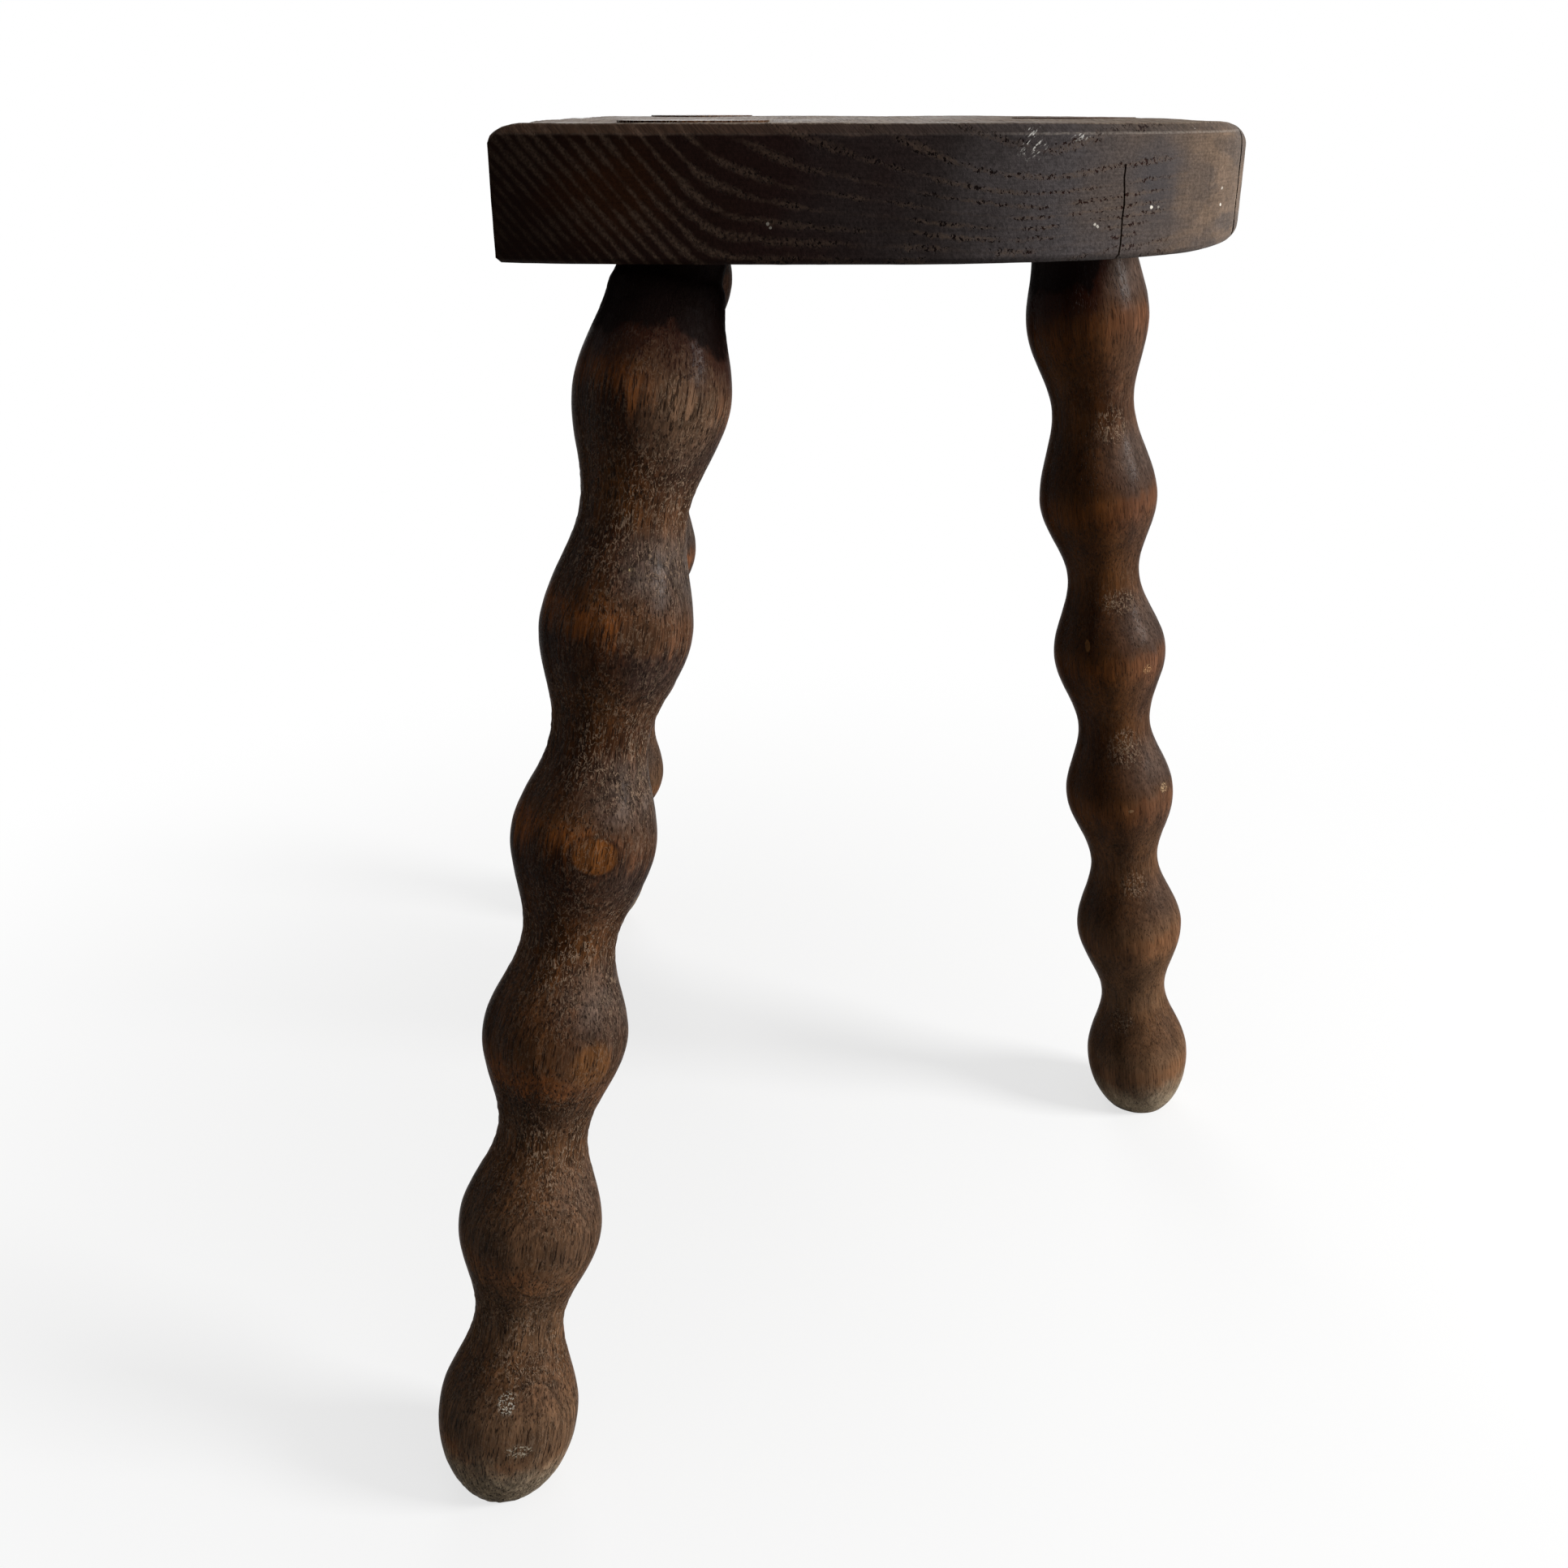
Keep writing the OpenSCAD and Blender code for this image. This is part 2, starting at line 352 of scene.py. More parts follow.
def level_cut(height, keep_below):
    """Cuts the piece in edit mode off level and closes the cut"""
    bpy.ops.mesh.select_all(action="SELECT")
    bpy.ops.mesh.bisect(plane_co=(0, 0, height * MM), plane_no=(0, 0, 1), use_fill=True, threshold=1e-6,
                        clear_outer=keep_below, clear_inner=not keep_below)


def kerf_cutter(leg):
    """The saw kerf that the wedge is driven into, wide at the top and narrow below"""
    low = leg.end_at - WEDGE_DEPTH - KERF_SPARE
    taper = (WEDGE_T - WEDGE_TIP_T) / WEDGE_DEPTH
    low_t = WEDGE_TIP_T + 2 * KERF_GAP
    top_t = WEDGE_T + 2 * KERF_GAP + taper * (leg.tenon_to - leg.end_at)
    bpy.ops.object.select_all(action="DESELECT")
    bpy.ops.mesh.primitive_cube_add(size=1, location=(0, 0, (low + leg.tenon_to) / 2 * MM),
                                    scale=(4 * TENON_END_R * MM, low_t * MM,
                                           (leg.tenon_to - low) * MM))
    mesh = edit()
    for face in mesh.faces:
        face.select_set(face.normal.z > 0.9)
    bpy.ops.transform.resize(value=(1, top_t / low_t, 1))
    cutter = done()
    place(cutter, leg.matrix @ cutter.matrix_world)
    return cutter


def turned_leg(leg):
    """A whole leg in its place: turned, a little out of round, torn on the flanks of its
    bulges, worn off level at the foot and sawn for its wedge"""
    piece = turn_blank(leg)
    points = points_of(piece)
    up = np.clip(points[:, 2] / leg.root_at, 0, 1)
    points[:, 0] += leg.bow[0] * np.sin(np.pi * up) + leg.bow[1] * np.sin(2 * np.pi * up)
    move_points(piece, points)
    bulge = bulges_up(leg, points[:, 2])
    flank = smooth(*FLANK, np.abs(bulge - np.round(np.clip(bulge, 0, len(leg.bulges) - 1))))
    group = piece.vertex_groups.new(name="flank")
    for step in range(FLANK_STEPS + 1):
        chosen = np.nonzero(np.round(flank * FLANK_STEPS) == step)[0]
        group.add(chosen.tolist(), step / FLANK_STEPS, "REPLACE")
    place(piece, leg.matrix)
    grow(piece, clouds("out_of_round", 26, 0), OUT_OF_ROUND, middle=0.7)
    grow(piece, clouds("tool_marks", 7, 1), TOOL_MARKS, middle=0.7)
    grow(piece, clouds("torn_grain", 2.2, 2), TORN_GRAIN * leg.torn, group="flank")
    edit()
    level_cut(0, keep_below=False)
    level_cut(SEAT_TOP - SAWN_CLEAR, keep_below=True)
    done()
    cut_with(piece, kerf_cutter(leg))
    local = points_of(piece)
    back = np.array(leg.matrix.inverted())
    local = local @ back[:3, :3].T + back[:3, 3] / MM
    bulge = bulges_up(leg, local[:, 2])
    keep(piece, "grain", local)
    keep(piece, "turning", np.stack([bulge, local[:, 2] - leg.root_at, np.zeros(len(bulge))], 1))
    alone(piece)
    bpy.ops.object.shade_smooth_by_angle(angle=LEG_CREASE)
    return piece


# The seat

# Cells along the straight side, along each end and round the whole outline
STRAIGHT_CELLS = 156
END_CELLS = 80
OUTLINE_CELLS = 2 * (STRAIGHT_CELLS + END_CELLS)
# Points that the round side is measured along, and corners round a mortise
FINE_POINTS = 4001
MORTISE_SIDES = 96
# How far the middle of the seat's widest line lies from the origin
seat_low, seat_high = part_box("seat")
SEAT_X = seat_high.x / MM - SEAT_REACH
SEAT_Y = (seat_low.y + seat_high.y) / 2 / MM


def round_side(inset):
    """Many points along the round side of the outline, from one end of the straight side to
    the other, drawn in by an inset all round"""
    a = SEAT_REACH - inset
    b = SEAT_HALF - inset
    cut = SEAT_CUT - inset
    end = b * (1 - (cut / a) ** SQUARENESS) ** (1 / SQUARENESS)
    limit = math.pi - math.atan2(end, cut)
    t = np.linspace(-limit, limit, FINE_POINTS)
    c = np.abs(np.cos(t))
    s = np.abs(np.sin(t))
    r = 1 / ((c / a) ** SQUARENESS + (s / b) ** SQUARENESS) ** (1 / SQUARENESS)
    return np.stack([r * np.cos(t), r * np.sin(t)], 1)


def outline(inset):
    """The half-moon's outline as evenly spaced points, starting at one end of the straight
    side and going along the round side first"""
    fine = round_side(inset)
    steps = np.hypot(*np.diff(fine, axis=0).T)
    along = np.concatenate([[0], np.cumsum(steps)])
    even = np.linspace(0, along[-1], OUTLINE_CELLS - STRAIGHT_CELLS + 1)
    bend = np.stack([np.interp(even, along, fine[:, 0]), np.interp(even, along, fine[:, 1])], 1)
    back = np.linspace(bend[-1], bend[0], STRAIGHT_CELLS + 1)
    return np.concatenate([bend[:-1], back[:-1]])


def shape_ring(inset, height):
    """Sets the selected ring on the outline, drawn in by an inset, at a height"""
    mesh = bmesh.from_edit_mesh(bpy.context.object.data)
    ring = sorted((v for v in mesh.verts if v.select), key=lambda v: math.atan2(v.co.y, v.co.x))
    wanted = sorted(outline(inset).tolist(), key=lambda p: math.atan2(p[1], p[0]))
    for vertex, (x, y) in zip(ring, wanted):
        vertex.co = (x * MM, y * MM, height * MM)
    bmesh.update_edit_mesh(bpy.context.object.data)


def seat_rings():
    """Insets and heights up the seat's rim, fine along its edges where wear rounds it"""
    rings = [(BOTTOM_BEVEL, SEAT_UNDER), (BOTTOM_BEVEL / 2, SEAT_UNDER + BOTTOM_BEVEL / 2)]
    rings += [(0, SEAT_UNDER + h) for h in (BOTTOM_BEVEL, 2.3, 3.3, 4.6)]
    rings += [(0, h) for h in np.arange(SEAT_UNDER + 6.4, SEAT_TOP - 8, 1.9)]
    rings += [(0, SEAT_TOP - h) for h in (7.2, 6.2, 5.3, 4.5, 3.7, TOP_BEVEL)]
    rings += [(TOP_BEVEL * t, SEAT_TOP - TOP_BEVEL * (1 - t)) for t in (0.25, 0.5, 0.75, 1)]
    rings += [(TOP_BEVEL + d, SEAT_TOP) for d in (0.8, 1.7, 2.8, 4.2, 6)]
    return rings


def fill_top():
    """Closes the top with an even grid between the corners of the straight side"""
    bpy.ops.mesh.delete(type="ONLY_FACE")
    bpy.ops.mesh.select_mode(type="VERT")
    mesh = bmesh.from_edit_mesh(bpy.context.object.data)
    loop = [v for v in mesh.verts if v.is_boundary]
    bpy.ops.mesh.select_all(action="DESELECT")
    for vertex in loop:
        vertex.select_set(True)
    mesh.select_flush(True)
    corner = min(loop, key=lambda v: v.co.x * 0.5 + v.co.y)
    mesh.select_history.clear()
    mesh.select_history.add(corner)
    bmesh.update_edit_mesh(bpy.context.object.data)
    bpy.ops.mesh.fill_grid(span=STRAIGHT_CELLS, offset=0)


def edge_distance(points):
    """How far in from the outline each point lies, seen from above"""
    angle = np.arctan2(points[:, 1], points[:, 0])
    c = np.abs(np.cos(angle)) / SEAT_REACH
    s = np.abs(np.sin(angle)) / SEAT_HALF
    reach = 1 / (c ** SQUARENESS + s ** SQUARENESS) ** (1 / SQUARENESS)
    inside = reach - np.hypot(points[:, 0], points[:, 1])
    return np.minimum(inside, points[:, 0] + SEAT_CUT)


# Drying cracks: their ends seen from above, how low and high they run and how wide they gape
CRACKS = [
    ((67.2, -129.5), (69.4, -134.5), 408, 438, 0.65),
    ((117.3, -84), (117.3, 18), 414, 453, 0.9),
]

# How far a crack wanders to each side, how long its bends are, and how often it is divided
CRACK_BEND = 0.9
CRACK_BEND_GAP = 8
CRACK_CUTS = 7

# Wear along the seat's edges. The corner nearest the viewer is rounded off, and
# the round end has sagged and is rounded above and below. Each pair says where
# a change begins and where it is in full.
WORN_TOP_DEPTH = (14, 1)
WORN_X = (60, 10)
SAG_X = (100, 132)
ROUND_X = (78, 122)
CORNER_Y = (-60, -120)
CORNER_ACROSS = 11
CORNER_DOWN = 5.6
END_SAG = 2.2
END_ROUND = 6.5
UNDER_ROUND = 6
# How deep the nicks in the top's edge are, how long the large and the small ones are, and how far
# down they reach
EDGE_NICKS = 0.9
NICK_LONG = 9
NICK_SHORT = 3.4
NICK_REACH = 15
# How high the plank's waves and dents are in all
PLANK_WAVES = 0.5
PLANK_DENTS = 0.18


def draw_in(points, inward, down):
    """Moves points towards the seat's middle and down"""
    centre = np.hypot(points[:, 0], points[:, 1])
    points[:, 0] -= inward * points[:, 0] / centre
    points[:, 1] -= inward * points[:, 1] / centre
    points[:, 2] -= down


def rounded(inside, depth, radius):
    """How far a point goes in and down for the edge to be a quarter circle"""
    a = np.clip(1 - inside / radius, 0, None)
    b = np.clip(1 - depth / radius, 0, None)
    over = 1 - 1 / np.maximum(np.hypot(a, b), 1)
    return radius * a * over, radius * b * over


def wear_seat(piece):
    """Lowers the seat's top, nicks its bevel, rounds its round end and takes its corner off"""
    points = points_of(piece)
    x = points[:, 0] + SEAT_X
    y = points[:, 1] + SEAT_Y
    inside = edge_distance(points)
    top = smooth(SEAT_TOP - WORN_TOP_DEPTH[0], SEAT_TOP - WORN_TOP_DEPTH[1], points[:, 2])
    worn = LEAST_WORN + (SEAT_WORN - LEAST_WORN) * smooth(*WORN_X, x) + END_SAG * smooth(*SAG_X, x)
    points[:, 2] -= top * worn
    nicks = np.array([noise.noise(Vector((a / NICK_LONG, b / NICK_LONG, 3.1))) +
                      0.5 * noise.noise(Vector((a / NICK_SHORT, b / NICK_SHORT, 8.7)))
                      for a, b in zip(x, y)])
    depth = SEAT_TOP - worn - points[:, 2]
    short = np.clip(TOP_BEVEL + EDGE_NICKS * nicks - inside - depth, 0, None) * (depth < NICK_REACH)
    draw_in(points, short / 2, short / 2)
    end = smooth(*ROUND_X, x) + 0.01
    draw_in(points, *rounded(edge_distance(points), SEAT_TOP - worn - points[:, 2], END_ROUND * end))
    inward, up = rounded(edge_distance(points), points[:, 2] - SEAT_UNDER, UNDER_ROUND * end)
    draw_in(points, inward, -up)
    left = (points[:, 0] + SEAT_CUT) / CORNER_ACROSS
    fall = 1 - np.sqrt(np.clip(1 - np.clip(1 - left, 0, 1) ** 2, 0, 1))
    fade = smooth(*CORNER_Y, y)
    limit = SEAT_TOP - SEAT_WORN - CORNER_DOWN * fall * fade
    points[:, 2] = np.minimum(points[:, 2], np.where(fade > 0, limit, SEAT_TOP))
    move_points(piece, points)


def mortise_cutter(leg):
    """The flared hole that a tenon is spread in"""
    over = leg.tenon_to - leg.tenon_from
    middle = (leg.tenon_to + leg.tenon_from) / 2
    bpy.ops.object.select_all(action="DESELECT")
    bpy.ops.mesh.primitive_cone_add(
        vertices=MORTISE_SIDES, radius1=(leg.tenon_r(leg.tenon_from) + MORTISE_GAP) * MM,
        radius2=(leg.tenon_r(leg.tenon_to) + MORTISE_GAP) * MM, depth=over * MM,
        location=(0, 0, middle * MM))
    cutter = bpy.context.object
    place(cutter, leg.matrix @ cutter.matrix_world)
    return cutter


def crack(start, end, low, high, wide):
    """The blade that cuts a drying crack: thin, upright and a little wavy"""
    start = Vector(start)
    along = Vector(end) - start
    turn = Matrix.Rotation(math.atan2(along.y, along.x), 4, "Z")
    middle = (start + along / 2).to_3d()
    middle.z = (low + high) / 2
    bpy.ops.object.select_all(action="DESELECT")
    bpy.ops.mesh.primitive_cube_add(size=1, scale=(along.length * MM, wide * MM, (high - low) * MM))
    edit()
    bpy.ops.mesh.select_all(action="SELECT")
    bpy.ops.mesh.subdivide(number_cuts=CRACK_CUTS)
    mesh = bmesh.from_edit_mesh(bpy.context.object.data)
    for vertex in mesh.verts:
        along_it = Vector((vertex.co.x / CRACK_BEND_GAP, 0.3, vertex.co.z / CRACK_BEND_GAP)) / MM
        vertex.co.y += CRACK_BEND * MM * noise.noise(along_it)
    cutter = done()
    place(cutter, Matrix.Translation(middle * MM) @ turn @ cutter.matrix_world)
    return cutter


def half_moon_seat():
    """The seat plank: sawn, chamfered, worn along its edges and bored for the tenons"""
    rings = seat_rings()
    bpy.ops.object.select_all(action="DESELECT")
    bpy.ops.mesh.primitive_circle_add(vertices=OUTLINE_CELLS, radius=SEAT_HALF * MM,
                                      fill_type="NGON")
    bpy.context.object.name = "half_moon_seat"
    edit()
    bpy.ops.mesh.select_all(action="SELECT")
    shape_ring(*rings[0])
    for inset, height in rings[1:]:
        bpy.ops.mesh.extrude_region_move()
        shape_ring(inset, height)
    fill_top()
    bpy.ops.mesh.select_all(action="SELECT")
    bpy.ops.mesh.normals_make_consistent(inside=False)
    piece = done()
    wear_seat(piece)
    place(piece, Matrix.Translation((SEAT_X * MM, SEAT_Y * MM, 0)))
    grow(piece, clouds("plank_waves", 45, 0), PLANK_WAVES, middle=0.8)
    grow(piece, clouds("plank_dents", 6, 1), PLANK_DENTS, middle=0.8)
    for leg in LEGS:
        cut_with(piece, mortise_cutter(leg))
    for place_at in CRACKS:
        cut_with(piece, crack(*place_at))
    alone(piece)
    bpy.ops.object.shade_smooth_by_angle(angle=SEAT_CREASE)
    return piece


# Materials

# Old wax that has gone thin and porous shines far less than a fresh coat, so
# its refraction is close to that of air, and its pores take the shine away at
# flat angles
WAX_IOR = 1.09

# Settings that many nodes share: a soft step between two limits, one colour laid over another by
# a share, a colour made darker or lighter, and plain arithmetic
SOFT = {"interpolation_type": "SMOOTHSTEP"}
TINT = {"data_type": "RGBA"}
SHADE = {"data_type": "RGBA", "blend_type": "MULTIPLY"}
PLUS = {"operation": "ADD"}
MINUS = {"operation": "SUBTRACT"}
TIMES = {"operation": "MULTIPLY"}
TIMES_PLUS = {"operation": "MULTIPLY_ADD"}
LARGER = {"operation": "MAXIMUM"}


def add(tree, kind, *inputs, named=None, stops=None, **settings):
    """Adds one shader node with its settings, its colour stops and what feeds its inputs, given in
    the order of those in use or by name: values, sockets, or nodes by their first output in use"""
    made = tree.nodes.new("ShaderNode" + kind)
    for name, value in settings.items():
        setattr(made, name, value)
    if stops:
        ramp = made.color_ramp.elements
        while len(ramp) < len(stops):
            ramp.new(0.5)
        for stop, (position, colour) in zip(ramp, stops):
            stop.position = position
            stop.color = linear(colour)
    fed = dict(zip([i for i, socket in enumerate(made.inputs) if socket.enabled], inputs))
    for socket, value in {**fed, **(named or {})}.items():
        if isinstance(value, bpy.types.Node):
            value = next(output for output in value.outputs if output.enabled)
        if isinstance(value, bpy.types.NodeSocket):
            tree.links.new(value, made.inputs[socket])
        else:
            made.inputs[socket].default_value = value
    return made


def new_finish(name):
    """A material with an empty tree of nodes"""
    made = bpy.data.materials.new(name)
    made.use_nodes = True
    made.node_tree.nodes.clear()
    return made, made.node_tree


def away_from(tree, where, middle, size, ragged, fray=0.8):
    """How far a place lies from the middle of a patch that is size (x, y, z) millimetres across:
    1 at its rim, which a pattern frays"""
    scaled = add(tree, "VectorMath", where, middle, **MINUS)
    scaled = add(tree, "VectorMath", scaled, [2 / s for s in size], **TIMES)
    away = add(tree, "VectorMath", scaled, operation="LENGTH")
    frayed = add(tree, "Math", ragged, fray, -0.5 * fray, **TIMES_PLUS)
    return add(tree, "Math", away, frayed, **PLUS)


# Patterns in the turned wood: how wide across the grain and how long along it their lumps are in
# millimetres, how far each is shifted, and its noise's detail, roughness, lacunarity and
# distortion where they aren't the usual ones. Real pores are 0.1 to 0.3 mm wide and torn fibres
# about 0.3 mm, too fine to show in the render, so the fibre, the pores, the flecks and the
# curls are drawn as coarse as they need to show. The painted shadows beside the strands are the curls moved a
# little aside.
TURNED_PATTERNS = {
    "mottle": (16, 24, 0, 3),
    "fibre": (0.9, 26, 0, 4, 0.65),
    "broad": (4, 60, 3),
    "pores": (0.5, 7, 5),
    "checks": (1.2, 15, 4),
    "curls": (1.8, 5, 0, 2, 0.6, 2, 0.9),
    "beside": (1.8, 5, 0.14, 2, 0.6, 2, 0.9),
    "flecks": (0.8, 2, 2),
    "crumbs": (0.75, 0.75, 6, 3, 0.7),
    "patches": (9, 12, 1, 4, 0.6),
    "sides": (22, 60, 9, 1),
}
# How deep a pore is and how far a torn strand stands up
PORE_DEPTH = 0.12
TORN_RISE = 0.22
# How far the patterns of one leg are shifted from those of the next
LEG_SHIFT = 7.3

# The turned wood's colours
STAIN = "#44260f"
THIN_STAIN = "#603c1f"
# Deep stain that also stands in for shade on the flanks
DEEP_STAIN_AND_SHADE = "#260f06"
RUBBED_WOOD = "#844b20"
# A painted grey sheen, and dust that is partly a painted sheen as well
PAINTED_SHEEN_GREY = "#4b4a49"
SETTLED_DUST_AND_SHEEN = "#6e6761"
# Floor dust that also paints the light thrown up from the floor
LOW_DUST_AND_BOUNCE = "#8a6d54"
FOOT_DUST = "#a8977f"
PATCH_RIM = "#20110a"
# Pale torn strands, partly painted glints, and the painted shadow beside each
TORN_STRAND_AND_GLINT = "#a48a73"
STRAND_SHADOW = "#1a0c06"
OPEN_PORE = "#150a05"
TOP_RED = "#260d06"
TOP_BLACK = "#0b0504"


def turned_wood(leg):
    """Turned, stained and waxed hardwood: fine lengthwise pores, torn and fuzzy where the tool met
    the grain on each flank, and rubbed back to its orange wood on the widest line of each bulge.
    The phase is -1 at the neck below the nearest bulge, 0 at its widest line and 1 at the neck
    above."""
    made, tree = new_finish("stained_turned_wood_" + leg.name)
    grain = add(tree, "Attribute", attribute_name="grain").outputs["Vector"]
    turning = add(tree, "Attribute", attribute_name="turning").outputs["Vector"]
    split = add(tree, "SeparateXYZ", turning)
    nearest = add(tree, "Clamp", split.outputs[0], 0, len(leg.bulges) - 1)
    nearest = add(tree, "Math", nearest, operation="ROUND")
    phase = add(tree, "Math", add(tree, "Math", split.outputs[0], nearest, **MINUS), 2, **TIMES)
    aside = add(tree, "SeparateXYZ", grain).outputs[0]
    height = add(tree, "SeparateXYZ", grain).outputs[2]
    patterns = []
    for wide, long, offset, *detail in TURNED_PATTERNS.values():
        shift = LEG_SHIFT * leg.seed + offset
        scaled = add(tree, "VectorMath", grain, (1 / wide, 1 / wide, 1 / long), (shift, 1.7 * shift, 0),
                     **TIMES_PLUS)
        patterns.append(add(tree, "TexNoise", scaled, 1, *detail))
    mottle, fibre, broad, pores, checks, curls, beside, flecks, crumbs, patches, sides = patterns

    # The stain, thinner and thicker in clouds, and the frayed line that the rest is measured from
    colour = add(tree, "Mix", add(tree, "MapRange", mottle, 0.32, 0.66, **SOFT), linear(STAIN),
                 linear(THIN_STAIN), **TINT)
    frayed = add(tree, "Math", fibre, 0.15 + 0.35 * leg.torn, **TIMES)
    ragged = add(tree, "Math", add(tree, "Math", broad, 0.4, **TIMES), frayed, **PLUS)
    edge = add(tree, "Math", phase, add(tree, "Math", ragged, 0.275 + 0.175 * leg.torn, **MINUS), **PLUS)
    edge = add(tree, "Math", edge, add(tree, "Math", aside, leg.band[0], **TIMES), **MINUS)
    edge = add(tree, "Math", edge,
               add(tree, "MapRange", height, 185, 225, leg.band[1], leg.band[2], **SOFT), **MINUS)
    # What is left of the first, deep stain below the rubbed line and above it, together with painted shade:
    # it darkens the flanks that face down and up, and less so low on the leg
    below = add(tree, "Math", add(tree, "MapRange", edge, -0.06, -0.24, **SOFT),
                add(tree, "MapRange", edge, -0.9, -0.4, **SOFT), **TIMES)
    below = add(tree, "Math", below,
                add(tree, "MapRange", height, 60, 260, 0.3 * leg.dark[0], leg.dark[0], **SOFT), **TIMES)
    above = add(tree, "Math", add(tree, "MapRange", edge, 0.06, 0.3, **SOFT),
                add(tree, "MapRange", edge, 1, 0.6, 0, leg.dark[1], **SOFT), **TIMES)
    colour = add(tree, "Mix", add(tree, "Math", below, above, **LARGER), colour, linear(DEEP_STAIN_AND_SHADE), **TINT)
    # The line that hands and dusters have rubbed back to the wood, at each bulge's widest place. On the right
    # leg it is weaker at the left, which is painted shade on that side
    soft = 0.16 - 0.06 * leg.torn
    band = add(tree, "MapRange", edge, 0.03 + soft, 0.03, **SOFT)
    for share in (add(tree, "MapRange", edge, -0.24 - soft, -0.02, **SOFT),
                  add(tree, "MapRange", patches, 0.36, 0.58, 0.45, 0.7 + 0.25 * leg.torn, **SOFT),
                  add(tree, "MapRange", sides, 0.4, 0.56, 0.75, 1, **SOFT),
                  add(tree, "MapRange", aside, -2, 12, leg.band[3], leg.band[4], **SOFT)):
        band = add(tree, "Math", band, share, **TIMES)
    colour = add(tree, "Mix", band, colour, linear(RUBBED_WOOD), **TINT)
    # A painted grey sheen on the window's side, and dust on the upper flank of each bulge, kept to the
    # window's side, so that it is partly a painted sheen as well
    lit = add(tree, "VectorMath", grain, WINDOW_SIDE, operation="DOT_PRODUCT")
    # Painted grey sheen towards the window light
    painted_sheen = add(tree, "MapRange", lit, 2, 22, 0, 0.36 - 0.1 * leg.torn, **SOFT)
    painted_sheen = add(tree, "Math", painted_sheen, add(tree, "MapRange", height, 60, 200, 0.3, 1, **SOFT), **TIMES)
    colour = add(tree, "Mix", painted_sheen, colour, linear(PAINTED_SHEEN_GREY), **TINT)
    upper = add(tree, "Math", add(tree, "MapRange", phase, 0.1, 0.5, **SOFT),
                add(tree, "MapRange", phase, 1, 0.7, **SOFT), **TIMES)
    # Dust on the upper flanks, kept to the window's side, so that it also paints the sheen
    dust_and_sheen = upper
    for share in (add(tree, "MapRange", patches, 0.3, 0.6, 0.1, 0.15 + 0.2 * leg.torn, **SOFT),
                  add(tree, "MapRange", lit, -2, 18, 0.05, 1, **SOFT),
                  add(tree, "MapRange", height, 60, 200, 0.2, 1, **SOFT)):
        dust_and_sheen = add(tree, "Math", dust_and_sheen, share, **TIMES)
    colour = add(tree, "Mix", dust_and_sheen, colour, linear(SETTLED_DUST_AND_SHEEN), **TINT)
    # Rubbed patches, those with a sharp edge inside a dark rim of old polish
    for middle, size, softness, tint in PATCHES[leg.name]:
        away = away_from(tree, grain, middle, size, fibre, fray=0.3)
        if softness < SHARP_PATCH:
            rim = add(tree, "MapRange", away, 1.35, 1 + softness, 0, 0.5, **SOFT)
            colour = add(tree, "Mix", rim, colour, linear(PATCH_RIM), **TINT)
        patch = add(tree, "MapRange", away, 1 + softness, 1 - softness, 0, 0.9, **SOFT)
        colour = add(tree, "Mix", patch, colour, linear(tint), **TINT)
    # Floor dust, thickest round the foot. Its broad first layer also paints the light that the floor throws
    # up: it lightens the lower leg, and more on the necks than on the upper flanks, which face the light
    dust_and_bounce = add(tree, "Math", add(tree, "MapRange", height, 210, 30, 0, 0.42, **SOFT),
               add(tree, "MapRange", upper, 0, 1, 1, 0.5, **SOFT), **TIMES)
    colour = add(tree, "Mix", dust_and_bounce, colour, linear(LOW_DUST_AND_BOUNCE), **TINT)
    low = add(tree, "Math", height, add(tree, "Math", patches, 20, **TIMES), **PLUS)
    colour = add(tree, "Mix", add(tree, "MapRange", low, 36, 15, 0, 0.95, **SOFT), colour,
                 linear(FOOT_DUST), **TINT)

    # Fibres and growth rings, which cross the bulges as ovals where the turning cut into them
    deep = 0.6 + 0.4 * leg.torn
    shade = add(tree, "MapRange", broad, 0.3, 0.7, 0.8, 1.18, **SOFT)
    colour = add(tree, "Mix", 1, colour, shade, **SHADE)
    shade = add(tree, "MapRange", fibre, 0.35, 0.65, 1 - 0.38 * deep, 1 + 0.3 * deep, **SOFT)
    colour = add(tree, "Mix", 1, colour, shade, **SHADE)
    facing = (math.cos(leg.flat_side), math.sin(leg.flat_side), 0)
    depth = add(tree, "VectorMath", grain, facing, operation="DOT_PRODUCT")
    bend = add(tree, "Math", broad, 1.6, -0.8, **TIMES_PLUS)
    depth = add(tree, "Math", add(tree, "Math", depth, bend, **PLUS), leg.bulges[0][1] - RING_IN, **MINUS)
    cycle = add(tree, "Math", add(tree, "Math", depth, RING_GAP, operation="DIVIDE"), operation="FRACT")
    ring_share = 0.25 + 0.75 * leg.torn
    colour = add(tree, "Mix", ring_share, colour, add(tree, "MapRange", cycle, 0, 1, 1.12, 0.9, **SOFT),
                 **SHADE)
    colour = add(tree, "Mix", ring_share, colour, add(tree, "MapRange", cycle, 0.84, 0.97, 1, 0.84, **SOFT),
                 **SHADE)
    cycle = add(tree, "Math", add(tree, "Math", depth, RING_GAP / 3, operation="DIVIDE"), operation="FRACT")
    colour = add(tree, "Mix", ring_share, colour, add(tree, "MapRange", cycle, 0.4, 0.95, 1.05, 0.82, **SOFT),
                 **SHADE)
